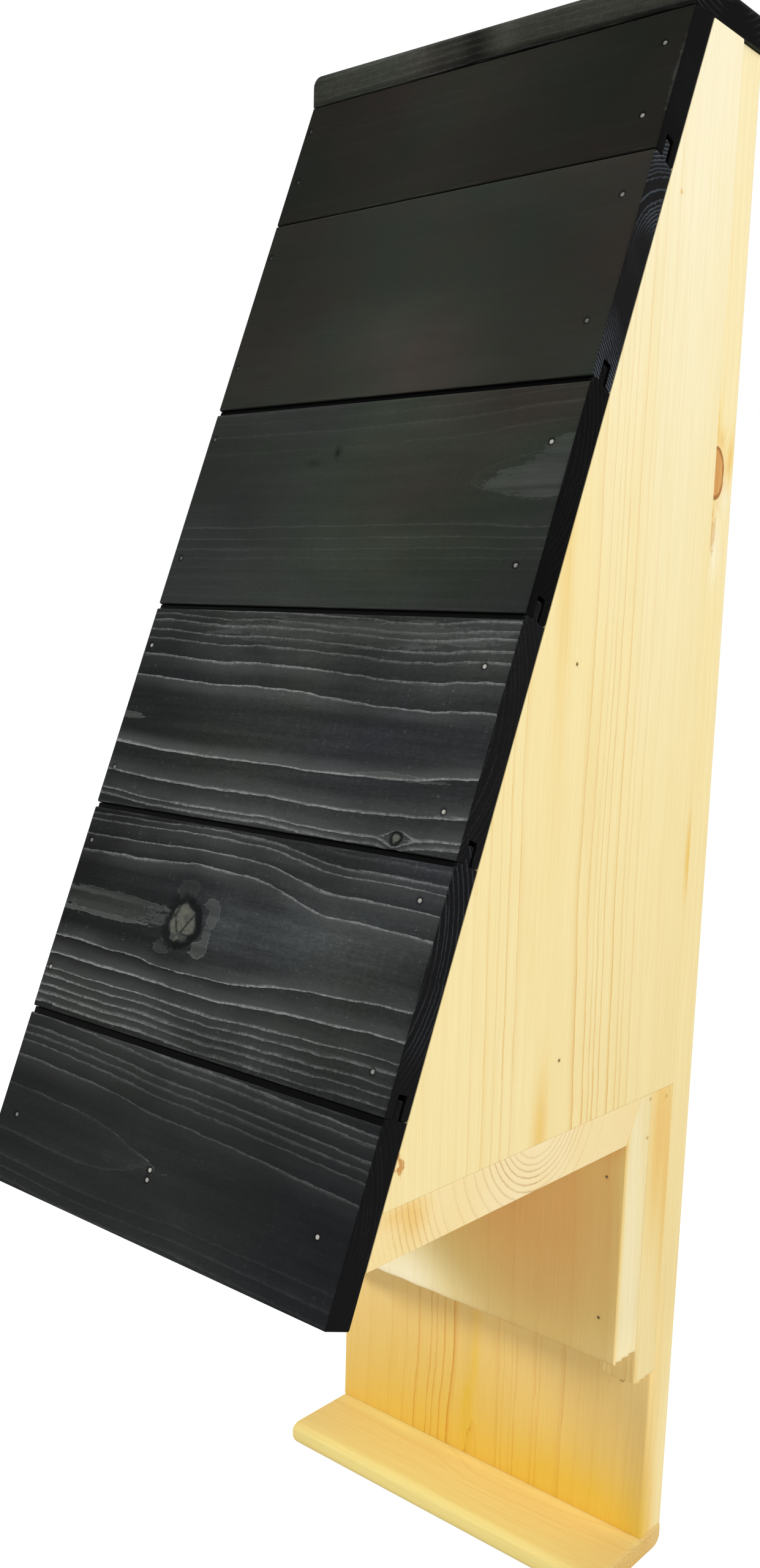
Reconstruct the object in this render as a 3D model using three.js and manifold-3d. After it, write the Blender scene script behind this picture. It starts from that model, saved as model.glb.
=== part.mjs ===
// Bat box: a wedge of nailed boards on a tall back board that hangs on a wall. Pale planed boards
// make the back, the sides, the floor, the entrance panel and the landing ledge. Black stained
// tongue and groove boards clad the slanted front, under a black roof board. A bat lands on the
// ledge or on the back board and climbs through the slot behind the entrance panel.
//
// Millimetres. +Z is up, +X is to the right of someone who faces the box and -Y points to them.
// The origin is the centre of the back board's rear face, which lies on the wall.

import * as THREE from 'three';
import { mergeVertices } from 'three/addons/utils/BufferGeometryUtils.js';
import Module from 'manifold-3d';

// The whole box
const bodyWidth = 190; // over both side panels, and the length of every front board
const seam = 0.3; // the air line between two boards that are nailed together
const arcSteps = 4; // chords in each rounded arris

// Back board and landing ledge
const backInset = 1.5; // the back board and the ledge are this much narrower at each side
const backHeight = 630;
const backThickness = 18;
const backArris = 1.5;
const ledgeThickness = 12;
const ledgeReach = 39; // how far it stands out in front of the back board
const ledgeUpperArris = 4;
const ledgeLowerArris = 5;
const ledgeWallArris = 7.5; // the lower arris at the wall
const ledgeEndArris = 2;

// Side panels, measured from the front of the back board
const sideThickness = 18;
const sideTopDepth = 23;
const sideBottomDepth = 188;

// Floor, entrance panel and the battens that hold the slot open
const floorHeight = 219.5; // from the ledge up to the chamber's floor
const floorThickness = 18;
const floorBevel = 11; // how far the floor's rear edge leans over the entrance panel
const panelThickness = 18;
const panelLength = 116;
const slotDepth = 18; // the climbing gap between the back board and the entrance panel
const battenWidth = 16;
const battenLength = 133;

// Tongue and groove boards on the slanted front, measured up their own face. The lowest and the top
// one are cut down, and those between cover the rest in equal steps, here of 88.
const frontBoards = 6;
const claddingThickness = 12.5;
const claddingDrop = 39; // how far the lowest board hangs below the side panels
const lowestShow = 68;
const topShow = 55.7;
const frontLip = 4.2;
const grooveWidth = 4.8;
const grooveDepth = 8.5;
const tongueThickness = 3.2;
const tongueHeight = 7.4;
const tonguePlay = 0.3; // between the tongue and the front lip
const lipArris = 0.8;
const rearLipArris = 1.6;
const shoulderArris = 1.8;
const shoulderGaps = [2.5, 1, 2.5, 2.3, 0.5]; // the open line at each joint, from the lowest up

// Roof board
const roofThickness = 13;
const roofArris = 3;
const roofOverhang = 0.5; // past the face of the top front board

const paleWood = new THREE.MeshStandardMaterial({ color: 0xf0e2b4, roughness: 0.7, metalness: 0 });
const ledgeWood = new THREE.MeshStandardMaterial({ color: 0xf2e0a6, roughness: 0.65, metalness: 0 });
const amberWood = new THREE.MeshStandardMaterial({ color: 0xe8c98a, roughness: 0.7, metalness: 0 });
const blackStain = new THREE.MeshStandardMaterial({ color: 0x26282a, roughness: 0.6, metalness: 0 });

const wasm = await Module();
wasm.setup();

// Levels and planes that several boards share
const backWidth = bodyWidth - 2 * backInset;
const roofUnderside = backHeight / 2;
const ledgeTop = roofUnderside - backHeight;
const backFront = -backThickness;
const floorTop = ledgeTop + floorHeight;
const sideTop = roofUnderside - seam;
const sideBottom = floorTop + seam;
const floorUnderside = floorTop - floorThickness;
const battenFront = backFront - seam - slotDepth;
const panelRear = battenFront - seam;
const panelFront = panelRear - panelThickness;
const slopeTangent = (sideBottomDepth - sideTopDepth) / (sideTop - sideBottom);
const slope = Math.atan(slopeTangent);

// The front edge of the side panels at a given height, also below the panels themselves.
function sideFrontAt(height) {
  return backFront - sideBottomDepth + slopeTangent * (height - sideBottom);
}

// A closed outline from its corners, each [across, up] or [across, up, radius]. A radius turns the
// corner into an arc, which takes at most half of the shorter side beside it.
function outline(corners) {
  const points = [];
  corners.forEach(([across, up, radius], index) => {
    const corner = new THREE.Vector2(across, up);
    if (!radius) {
      points.push(corner);
      return;
    }
    const [before, after] = [corners.at(index - 1), corners[(index + 1) % corners.length]]
      .map(([x, y]) => new THREE.Vector2(x, y).sub(corner));
    const halfAngle = before.angleTo(after) / 2;
    const room = Math.min(before.length(), after.length()) / 2;
    const run = Math.min(radius / Math.tan(halfAngle), room);
    const start = before.normalize().multiplyScalar(run).add(corner);
    const end = after.normalize().multiplyScalar(run).add(corner);
    const middle = start.clone().add(end).multiplyScalar(1 / 2);
    const centre = middle.clone().sub(corner).multiplyScalar(1 / Math.cos(halfAngle) ** 2).add(corner);
    const sweep = start.clone().sub(centre).angle();
    const turn = end.clone().sub(centre).angle() - sweep;
    const shortTurn = turn - 2 * Math.PI * Math.round(turn / (2 * Math.PI));
    for (let step = 0; step <= arcSteps; step += 1) {
      const spoke = start.clone().sub(centre).rotateAround(
        new THREE.Vector2(), (shortTurn * step) / arcSteps);
      points.push(spoke.add(centre));
    }
  });
  return points;
}

// A prism of an outline, centred on the axis that it runs along.
// Along X the outline is drawn in Y and Z, along Y in X and Z, and along Z in X and Y.
function prism(corners, length, axis) {
  const shape = new THREE.Shape(outline(corners));
  const geometry = new THREE.ExtrudeGeometry(shape, { depth: length, bevelEnabled: false });
  geometry.translate(0, 0, -length / 2);
  const [x, y, z] = ['x', 'y', 'z'].map((_, index) => new THREE.Vector3().setComponent(index, 1));
  if (axis === 'x') geometry.applyMatrix4(new THREE.Matrix4().makeBasis(y, z, x));
  if (axis === 'y') geometry.applyMatrix4(new THREE.Matrix4().makeBasis(x, z, y.negate()));
  return geometry;
}

function toSolid(geometry) {
  const bare = geometry.clone();
  bare.deleteAttribute('normal');
  bare.deleteAttribute('uv');
  const merged = mergeVertices(bare);
  return new wasm.Manifold(new wasm.Mesh({
    numProp: 3,
    vertProperties: new Float32Array(merged.attributes.position.array),
    triVerts: new Uint32Array(merged.index.array),
  }));
}

function toGeometry(solid) {
  const mesh = solid.getMesh();
  const geometry = new THREE.BufferGeometry();
  geometry.setAttribute('position', new THREE.BufferAttribute(mesh.vertProperties, 3));
  geometry.setIndex(new THREE.BufferAttribute(mesh.triVerts, 1));
  geometry.computeVertexNormals();
  return geometry;
}

// What two prisms share: a board that is rounded along its sides by one and at its ends by the other.
function crossed(first, second) {
  return toGeometry(toSolid(first).intersect(toSolid(second)));
}

function named(name, geometry, material, x, y, z) {
  const mesh = new THREE.Mesh(geometry, material);
  mesh.name = name;
  mesh.position.set(x, y, z);
  return mesh;
}

// The back board stands between the ledge and the roof. Its long arrises are planed round.
function backBoard() {
  const half = backWidth / 2;
  const section = [
    [-half, 0, backArris],
    [-half, backFront, backArris],
    [half, backFront, backArris],
    [half, 0, backArris],
  ];
  const geometry = prism(section, backHeight - 2 * seam, 'z');
  return named('back_board', geometry, paleWood, 0, 0, 0);
}

// The ledge lies under the foot of the back board and stands out in front of it.
function landingLedge() {
  const front = backFront - ledgeReach;
  const half = backWidth / 2;
  const section = [
    [0, 0],
    [front, 0, ledgeUpperArris],
    [front, -ledgeThickness, ledgeLowerArris],
    [0, -ledgeThickness, ledgeWallArris],
  ];
  const endView = [
    [-half, 0, ledgeEndArris],
    [half, 0, ledgeEndArris],
    [half, -ledgeThickness, ledgeEndArris],
    [-half, -ledgeThickness, ledgeEndArris],
  ];
  const geometry = crossed(prism(section, backWidth, 'x'), prism(endView, -2 * front, 'y'));
  return named('landing_ledge', geometry, ledgeWood, 0, 0, ledgeTop);
}

// A side panel is square at the back, level at both ends and slanted along its front edge.
function sidePanel(name, side) {
  const rear = backFront - seam;
  const section = [
    [rear, sideBottom],
    [sideFrontAt(sideBottom), sideBottom],
    [sideFrontAt(sideTop), sideTop],
    [rear, sideTop],
  ];
  const x = (side * (bodyWidth - sideThickness)) / 2;
  return named(name, prism(section, sideThickness, 'x'), paleWood, x, 0, 0);
}

// The floor follows the slant of the front. Its rear edge leans back over the entrance panel.
function floorBoard() {
  const rearFoot = panelFront - seam;
  const section = [
    [rearFoot, floorUnderside],
    [sideFrontAt(floorUnderside), floorUnderside],
    [sideFrontAt(floorTop), floorTop],
    [rearFoot + floorBevel, floorTop],
  ];
  return named('floor_board', prism(section, bodyWidth, 'x'), paleWood, 0, 0, 0);
}

// The entrance panel hangs from the floor. The bevel along its top takes the floor's rear edge.
function entrancePanel() {
  const section = [
    [panelFront, floorTop - panelLength],
    [panelFront, floorUnderside],
    [panelFront + floorBevel, floorTop],
    [panelRear, floorTop],
    [panelRear, floorTop - panelLength],
  ];
  return named('entrance_panel', prism(section, bodyWidth, 'x'), paleWood, 0, 0, 0);
}

// A batten at each side keeps the entrance panel off the back board.
function batten(name, side) {
  const geometry = new THREE.BoxGeometry(battenWidth, slotDepth, battenLength);
  const x = (side * (bodyWidth - battenWidth)) / 2;
  const y = battenFront + slotDepth / 2;
  return named(name, geometry, amberWood, x, y, floorTop - battenLength / 2);
}

// The cladding is laid out in a frame that leans with the front: Y runs into the boards and Z up
// their face, both from the lower front corner of the side panels.
const claddingRear = -seam;
const claddingFace = claddingRear - claddingThickness;
const claddingFoot = -claddingDrop;

// The height in that frame at which a board of the given depth meets the roof.
function roofCutAt(depth) {
  return (roofUnderside - seam - sideBottom + depth * Math.sin(slope)) / Math.cos(slope);
}

// The lips of every board above the lowest.
function jointHeights() {
  const first = claddingFoot + lowestShow;
  const last = roofCutAt(claddingFace) - topShow;
  const cover = (last - first) / (frontBoards - 2);
  return Array.from({ length: frontBoards - 1 }, (_, index) => first + index * cover);
}

// The lower end of a board that stands on another one: two lips with the groove between them.
function groovedEnd(height) {
  const grooveFront = claddingFace + frontLip;
  const grooveRear = grooveFront + grooveWidth;
  return [
    [claddingRear, height, rearLipArris],
    [grooveRear, height],
    [grooveRear, height + grooveDepth],
    [grooveFront, height + grooveDepth],
    [grooveFront, height],
    [claddingFace, height, lipArris],
  ];
}

// The upper end of a board that carries another one: a shoulder on each side of the tongue.
function tonguedEnd(height) {
  const tongueFront = claddingFace + frontLip + tonguePlay;
  const tongueRear = tongueFront + tongueThickness;
  return [
    [claddingFace, height, shoulderArris],
    [tongueFront, height],
    [tongueFront, height + tongueHeight, lipArris],
    [tongueRear, height + tongueHeight, lipArris],
    [tongueRear, height],
    [claddingRear, height],
  ];
}

function cladding() {
  const joints = jointHeights();
  const squareFoot = [[claddingRear, claddingFoot, rearLipArris], [claddingFace, claddingFoot, lipArris]];
  const roofCut = [claddingFace, claddingRear].map((depth) => [depth, roofCutAt(depth)]);
  const group = new THREE.Group();
  for (let index = 0; index < frontBoards; index += 1) {
    const gap = shoulderGaps[index % shoulderGaps.length];
    const lower = index === 0 ? squareFoot : groovedEnd(joints[index - 1]);
    const upper = index === frontBoards - 1 ? roofCut : tonguedEnd(joints[index] - gap);
    const name = `front_board_${frontBoards - index}`;
    group.add(named(name, prism([...lower, ...upper], bodyWidth, 'x'), blackStain, 0, 0, 0));
  }
  group.position.set(0, sideFrontAt(sideBottom), sideBottom);
  group.rotation.x = -slope;
  return group;
}

// The roof board covers the back board, the side panels and the top front board.
function roofBoard() {
  const front = sideFrontAt(roofUnderside) + claddingFace / Math.cos(slope) - roofOverhang;
  const half = bodyWidth / 2;
  const section = [
    [0, 0],
    [front, 0],
    [front, roofThickness, roofArris],
    [0, roofThickness],
  ];
  const endView = [
    [-half, 0],
    [half, 0],
    [half, roofThickness, roofArris],
    [-half, roofThickness, roofArris],
  ];
  const geometry = crossed(prism(section, bodyWidth, 'x'), prism(endView, -2 * front, 'y'));
  return named('roof_board', geometry, blackStain, 0, 0, roofUnderside);
}

const batBox = new THREE.Group();
batBox.add(
  backBoard(),
  landingLedge(),
  sidePanel('side_panel_right', 1),
  sidePanel('side_panel_left', -1),
  floorBoard(),
  entrancePanel(),
  batten('batten_right', 1),
  batten('batten_left', -1),
  cladding(),
  roofBoard(),
);

export default batBox;
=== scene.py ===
"""Looks of the bat box: every board is a solid piece of wood whose growth rings run through it.

A board is its section in the Y and Z plane, carried along X. The rings are cylinders round a pith
line that lies outside the board, so that face, edge and end grain belong together. What the paint
needs to know of them is kept in the mesh as attributes.
"""

import math
from dataclasses import dataclass

import bpy
import numpy as np
from bpy.props import FloatProperty, FloatVectorProperty, PointerProperty
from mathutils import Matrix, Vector
from mathutils.geometry import delaunay_2d_cdt


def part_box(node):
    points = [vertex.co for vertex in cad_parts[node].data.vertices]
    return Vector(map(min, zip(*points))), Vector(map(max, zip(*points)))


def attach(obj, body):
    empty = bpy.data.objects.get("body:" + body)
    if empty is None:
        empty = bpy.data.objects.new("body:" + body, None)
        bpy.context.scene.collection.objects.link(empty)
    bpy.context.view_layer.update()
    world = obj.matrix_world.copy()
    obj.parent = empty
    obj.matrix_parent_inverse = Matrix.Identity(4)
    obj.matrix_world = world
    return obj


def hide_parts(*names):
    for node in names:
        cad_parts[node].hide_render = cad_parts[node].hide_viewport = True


bl_info = {
    "name": "Bat box",
    "version": (1, 0, 0),
    "blender": (4, 5, 0),
    "location": "3D View > Sidebar > Bat box",
    "description": "Dresses the boards of a bat box in planed spruce and black stain",
    "category": "Object",
}

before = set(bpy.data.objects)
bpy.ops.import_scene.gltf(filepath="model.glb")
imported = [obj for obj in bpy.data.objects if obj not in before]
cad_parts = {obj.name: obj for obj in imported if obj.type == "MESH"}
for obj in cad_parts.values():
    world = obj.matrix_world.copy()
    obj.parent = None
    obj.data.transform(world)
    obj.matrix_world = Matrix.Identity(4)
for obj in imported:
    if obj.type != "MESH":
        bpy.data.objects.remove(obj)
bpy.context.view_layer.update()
MM = 0.001


def srgb(red, green, blue):
    """A colour as it is seen, 0 to 255, turned into the linear values that Blender wants."""
    seen = np.array([red, green, blue]) / 255
    return tuple(np.where(seen > 0.04045, ((seen + 0.055) / 1.055) ** 2.4, seen / 12.92))


def cad_box(node):
    """The lowest and the highest corner of a CAD solid, in millimetres."""
    low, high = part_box(node)
    return np.array(low) / MM, np.array(high) / MM


# Levels and planes of the box in millimetres, as the CAD has them.
ROOF_LOW, ROOF_HIGH = cad_box("roof_board")
HALF_WIDTH, ROOF_DEPTH, ROOF_THICKNESS = ROOF_HIGH[0], -ROOF_LOW[1], ROOF_HIGH[2] - ROOF_LOW[2]
BACK_LOW, BACK_HIGH = cad_box("back_board")
LEDGE_LOW, LEDGE_HIGH = cad_box("landing_ledge")
SIDE_LOW, SIDE_HIGH = cad_box("side_panel_right")
FLOOR_LOW, FLOOR_HIGH = cad_box("floor_board")
PANEL_LOW, PANEL_HIGH = cad_box("entrance_panel")
BATTEN_LOW, BATTEN_HIGH = cad_box("batten_right")
SEAM = 0.3              # gap between boards that are nailed together
TOUCH = 0.1             # gap and arris where two raw boards meet flush
FLOOR_BEVEL = 11.0      # how far forward the floor's slanted rear edge runs
SIDE_TOP_DEPTH = 23.0   # depth of the side panels at their top
ALONG_X, ALONG_Z = (1, 0, 0), (0, 0, 1)

SIDE_TOP_FRONT = BACK_LOW[1] - SIDE_TOP_DEPTH
SLANT = (SIDE_TOP_FRONT - SIDE_LOW[1]) / (SIDE_HIGH[2] - SIDE_LOW[2])
SLOPE = math.atan(SLANT)
LEAN = np.array([math.sin(SLOPE), math.cos(SLOPE)])

# The cladding is laid out in its own frame: depth into the boards, height up their face.
CLADDING_THICKNESS = 12.5
CLADDING_REAR = -SEAM
CLADDING_FACE = CLADDING_REAR - CLADDING_THICKNESS
# The lower edge of the lowest board and the height of each joint.
JOINTS = (-39.0, 29.0, 117.0, 205.0, 293.0, 381.0)
# The open band of each joint: its lower and its upper edge, from the joint, and its depth.
JOINT_BANDS = ((-1.3, 1.4, 1.2), (-1.9, 0.3, 1.2), (-2.6, -0.3, 1.2), (-2.7, -0.4, 1.2), (-1.6, -1.1, 0.5))


def side_front(z):
    """The front edge of the side panels at height z."""
    return SIDE_LOW[1] + SLANT * (z - SIDE_LOW[2])


# Shapes

@dataclass
class Corner:
    """A corner of a section: its place, its arris, and the spacing of the points on the straight
    edge that follows it."""
    y: float
    z: float
    arris: float = 0.35
    step: float = 1.5


def mark(along, across, length, height, amount, reach=40.0):
    """A knot or spot on the face of a board: its centre, its reach, and its dip or amount."""
    return (along, across, 0), (length, height, reach), amount


@dataclass
class Grain:
    """How the rings of the tree run through a board.

    Along is the place along the fibres, across the place over the face and depth the way in from
    the face. lines_up and lines_down give (offset, strength) of the ring lines on the face, on both
    sides of the centre line. centre and pith give (along, value) pairs: where the centre line runs,
    and how far the pith lies from the face, in front of it (pith_side 1) or behind it (-1). knots,
    lights and spots give (centre, reach, amount) along, across and in depth, and tones the same in
    X, Y and Z. Lengths are in millimetres.
    """
    lines_up: tuple
    lines_down: tuple
    centre: tuple
    pith: tuple
    face_pith: float = 50.0  # the pith at which the offsets of the lines hold
    pith_side: int = 1
    ring: float = 2.6       # spacing of the rings beyond the lines
    faint: float = 0.2      # their strength
    waver: float = 0.25
    relief: float = 0.3     # share of the ridge height
    seed: int = 1
    shade: tuple = ((0, 1),)  # (along, lightness) of the wood: partly painted reflection, light and shade
    rough: float = 0.1      # how sawn the face looks under the stain
    joint_shade: float = 0.0  # painted shade: how much blacker the stain is painted behind the face, in the joints
    end_lines: float = 0.05  # how clear the rings are on stained ends
    end_level: float = 1.0  # lightness of stained ends
    sheen: float = 0.05     # specular level of the stain
    fade: tuple = ((0, 1),)  # (along, share of the strength) of the ring lines
    knots: tuple = ()       # the amount is the depth of the dip round a knot
    lights: tuple = ()      # lighter or darker places: mostly painted light and shade, a few small marks
    mottle: float = 2.5     # how strongly the stain's tint varies from place to place
    spots: tuple = ()       # thin stain or brown marks
    tones: tuple = ()       # warmer or cooler places; some on the raw wood are painted light and bounce light
    nails: tuple = ()       # (along, across, how bare of stain the head is)
    torn: float = 0.0       # how far splinters hang from the lower end


EDGE_SHARE = 0.45       # an arris takes at most this share of the edges beside it
ARC_PARTS, WIDE_ARC_PARTS, WIDE_ARRIS = 3, 6, 1.2   # parts of an arc, and of one from this arris on


def rounded_outline(corners):
    """The closed outline of a section: an arc of each corner's arris, tangent to both edges, and the
    straight edges between them cut into equal parts. Gives the points, and 1 on arcs and 0 elsewhere.
    It runs anticlockwise."""
    place = np.array([(c.y, c.z) for c in corners])
    before = np.roll(place, 1, 0) - place
    after = np.roll(place, -1, 0) - place
    before_length = np.linalg.norm(before, axis=1)
    after_length = np.linalg.norm(after, axis=1)
    before /= before_length[:, None]
    after /= after_length[:, None]
    half = np.arccos(np.clip((before * after).sum(1), -1, 1)) / 2
    arris = np.array([c.arris for c in corners])
    run = np.minimum(arris / np.tan(half), EDGE_SHARE * np.minimum(before_length, after_length))
    points, bend = [], []
    for i, corner in enumerate(corners):
        j = (i + 1) % len(corners)
        start, stop = place[i] + before[i] * run[i], place[i] + after[i] * run[i]
        parts = ARC_PARTS if corner.arris < WIDE_ARRIS else WIDE_ARC_PARTS
        t = np.linspace(0, 1, parts + 1)[:, None]
        weight = np.sin(half[i])
        arc = ((1 - t) ** 2 * start + 2 * t * (1 - t) * weight * place[i] + t ** 2 * stop) / (
            (1 - t) ** 2 + 2 * t * (1 - t) * weight + t ** 2)
        far = place[j] + before[j] * run[j]
        pieces = max(1, int(round(np.linalg.norm(far - stop) / corner.step)))
        s = np.linspace(0, 1, pieces + 1)[1:-1, None]
        line = stop + (far - stop) * s
        points += [arc, line]
        bend += [np.ones(len(arc)), np.zeros(len(line))]
    points, bend = np.concatenate(points), np.concatenate(bend)
    y, z = points.T
    if (y * np.roll(z, -1) - z * np.roll(y, -1)).sum() < 0:
        points, bend = points[::-1], bend[::-1]
    return points, bend


def inward(points):
    """The way in at each point of an anticlockwise outline: the mean of its two edges' normals,
    lengthened so that both edges move in by one."""
    edge = np.roll(points, -1, 0) - points
    edge = edge / np.linalg.norm(edge, axis=1, keepdims=True)
    normal = np.stack([-edge[:, 1], edge[:, 0]], 1)
    last = np.roll(normal, 1, 0)
    return (normal + last) / (1 + (normal * last).sum(1, keepdims=True))


def inside(points, outline):
    """Which points lie inside an outline: a ray to the right crosses it an odd number of times."""
    a, b = outline, np.roll(outline, -1, 0)
    y, z = points[:, :1], points[:, 1:]
    spans = (a[:, 1] > z) != (b[:, 1] > z)
    rise = np.where(b[:, 1] == a[:, 1], 1e-9, b[:, 1] - a[:, 1])
    reach = a[:, 0] + (z - a[:, 1]) * (b[:, 0] - a[:, 0]) / rise
    return (spans & (y < reach)).sum(1) % 2 == 1


SAMPLES = 4001          # places at which the density of the rows is summed
FINE_STEP = 0.45        # spacing of the rows inside the zones


def stations(low, high, coarse, zones):
    """Places from low to high, coarse apart, and closer inside the zones: equal steps of the summed
    density."""
    place = np.linspace(low, high, SAMPLES)
    near = np.zeros(len(place), bool)
    for zone_low, zone_high in zones:
        near |= (place > zone_low) & (place < zone_high)
    count = np.concatenate([[0], np.cumsum(np.where(near, 1 / FINE_STEP, 1 / coarse)[1:])])
    count *= (high - low) / (len(place) - 1)
    return np.interp(np.linspace(0, count[-1], int(count[-1]) + 2), count, place)


ARRIS_SHARE = 0.8       # the most that an end is rounded, as a share of the section's smallest arris
END_ROWS = 5            # rows of points over the rounding of an end
FLAT_END = 0.79         # from this share of the pull on, a row belongs to the flat end
CAP_MARGIN = 0.3        # how far the grid over an end stays off its rim


def solid_board(name, corners, low, high, end_arris, cap_step, coarse, zones=(), squeeze=None):
    """A closed mesh: the section carried along X from low to high, pulled in along a quarter ellipse
    at both ends, and each end filled with triangles over a grid of points. The pull is along the
    mitres, by end_arris but less than the smallest arris of the section, or a squeeze towards a line:
    (what stays, how far in Y and in Z)."""
    end_arris = min(end_arris, ARRIS_SHARE * min(corner.arris for corner in corners))
    outline, bend = rounded_outline(corners)
    size = len(outline)
    if squeeze is None:
        pull = inward(outline) * end_arris
    else:
        still, amount = np.array(squeeze[0]), np.array(squeeze[1])
        away = outline - still
        pull = -away / np.abs(away).max(0) * amount
    turn = np.linspace(math.pi / 2, 0, END_ROWS)
    reach = end_arris if squeeze is None else max(squeeze[1])
    run_in = reach * (1 - np.sin(turn))
    middle = stations(low + reach, high - reach, coarse, zones)[1:-1]
    x = np.concatenate([low + run_in, middle, high - run_in[::-1]])
    shrink = 1 - np.cos(turn)
    shrink = np.concatenate([shrink, np.zeros(len(middle)), shrink[::-1]])
    rings = outline + shrink[:, None, None] * pull
    skin = np.concatenate([np.broadcast_to(x[:, None, None], rings.shape[:2] + (1,)), rings], 2)
    wear = np.maximum(bend, ((shrink > 0) & (shrink < FLAT_END))[:, None])

    rim = rings[0]
    grid = np.stack(np.meshgrid(
        np.arange(rim[:, 0].min() + cap_step[0] / 2, rim[:, 0].max(), cap_step[0]),
        np.arange(rim[:, 1].min() + cap_step[1] / 2, rim[:, 1].max(), cap_step[1])), -1).reshape(-1, 2)
    grid = grid[inside(grid, rim + CAP_MARGIN * inward(rim))]
    flat = np.concatenate([rim, grid])
    loop = np.stack([np.arange(size), np.roll(np.arange(size), -1)], 1)
    filled = delaunay_2d_cdt([Vector(p) for p in flat.tolist()], loop.tolist(), [], 1, 1e-6)
    if len(filled[0]) != len(flat):
        raise RuntimeError(f"{name}: the end could not be filled")
    cap = np.array(filled[2])
    first = len(x) * size
    low_cap = np.where(cap < size, cap, first + cap - size)[:, ::-1]
    high_cap = np.where(cap < size, first - size + cap, first + len(grid) + cap - size)

    r, i = np.meshgrid(np.arange(len(x) - 1), np.arange(size), indexing="ij")
    j = (i + 1) % size
    quads = np.stack([r * size + i, r * size + j, (r + 1) * size + j, (r + 1) * size + i], -1)
    places = np.concatenate([
        skin.reshape(-1, 3),
        np.insert(grid, 0, low, 1),
        np.insert(grid, 0, high, 1)])
    wear = np.concatenate([wear.ravel(), np.zeros(2 * len(grid))])
    mesh = new_mesh(name, places, quads.reshape(-1, 4), np.concatenate([low_cap, high_cap]))
    return mesh, places, wear


def new_mesh(name, places, quads, triangles):
    """A smooth mesh of places in millimetres."""
    mesh = bpy.data.meshes.new(name)
    mesh.vertices.add(len(places))
    mesh.vertices.foreach_set("co", (places * MM).astype(np.float32).ravel())
    corners = np.concatenate([quads.ravel(), triangles.ravel()]).astype(np.int32)
    sides = np.concatenate([np.full(len(quads), 4), np.full(len(triangles), 3)])
    starts = np.concatenate([[0], np.cumsum(sides)[:-1]]).astype(np.int32)
    mesh.loops.add(len(corners))
    mesh.loops.foreach_set("vertex_index", corners)
    mesh.polygons.add(len(sides))
    mesh.polygons.foreach_set("loop_start", starts)
    mesh.polygons.foreach_set("use_smooth", np.ones(len(sides), bool))
    mesh.update(calc_edges=True)
    return mesh


def keep(mesh, **attributes):
    """Keeps values in the mesh, one for each point, for the paint to read."""
    for label, values in attributes.items():
        mesh.attributes.new(label, "FLOAT", "POINT").data.foreach_set("value", values.astype(np.float32))


# Grain

def curve(along, pairs):
    """A value that eases from one (place, value) pair to the next, by the smooth step 3tt - 2ttt."""
    place, value = np.array(pairs, float).T
    step = np.clip(np.searchsorted(place, along) - 1, 0, max(len(place) - 2, 0))
    if len(place) == 1:
        return np.full_like(along, value[0])
    t = np.clip((along - place[step]) / (place[step + 1] - place[step]), 0, 1)
    return value[step] + (value[step + 1] - value[step]) * t * t * (3 - 2 * t)


def waver(along, across, seed):
    """A gentle wave of about one: sines of 120 to 14 mm along the fibres, that differ over the face."""
    dice = np.random.default_rng(seed)
    total = 0
    for length, size in ((120, 0.7), (52, 0.45), (27, 0.2), (14, 0.1)):
        tilt, phase = dice.uniform(-0.3, 0.3), dice.uniform(0, 2 * math.pi)
        total = total + size * np.sin(2 * math.pi * (along + tilt * across) / length + phase)
    return total


RINGS = 60              # rings that are counted on each side of the measured lines
FIRST_RING = 0.4        # the innermost ring starts this far before the face


def ring_count(radius, offset, grain):
    """The number of rings out to a radius, and the strength and the width of the ring there. It is
    read off between the radii of the lines, sqrt(pith squared + offset squared), with even rings
    within and beyond them."""
    found = []
    for lines in (grain.lines_up, grain.lines_down):
        spaced = np.hypot(grain.face_pith, [abs(line[0]) for line in lines])
        start = min(spaced[0] - grain.ring, grain.face_pith - FIRST_RING)
        radii = np.concatenate([start - grain.ring * np.arange(RINGS - 1, -1, -1), spaced,
                                spaced[-1] + grain.ring * np.arange(1, RINGS)])
        strength = np.full(len(radii), grain.faint)
        strength[RINGS:RINGS + len(lines)] = [line[1] for line in lines]
        count = np.interp(radius, radii, np.arange(len(radii)) - RINGS)
        ring = np.clip(np.ceil(count).astype(int) + RINGS, 1, len(radii) - 1)
        found.append((count, strength[ring], radii[ring] - radii[ring - 1]))
    return [np.where(offset >= 0, up, down) for up, down in zip(*found)]


NO_KNOT = 9.0           # what the knot attribute says far from any knot, whose rim is at 1
BARK_WIDTH, LARGE_KNOT = 2.0, 10.0
KNOT_WAVE, KNOT_RIPPLE = 0.06, 0.03     # how uneven the rim of a knot is
PUSH, PUSH_REACH = 0.9, 1.3     # how far a knot pushes the ring lines aside, and over what reach
DIP_WIDTH = 0.12        # width of the dip round a knot, as a share of the knot
LEVEL_LIMIT, WIDEST_RING = 0.02, 30.0   # for rings that run level with the surface
SPOT_EDGE = 1.5         # how many times its reach a spot goes out
SKIN, JOINT_FADE = 0.2, 0.5     # how deep the face goes, and how soon the painted shade makes the stain black behind it
NAIL_LAYER = 2.0        # nail holes don't show deeper than this in the joints
RIDGE_WIDTH = 1.2       # how far in the ridge of a ring line fades out
SPLINTER_WIDTH, SPLINTER_WAVE, FACING_DOWN = 5.3, 0.15, -0.7


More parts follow.
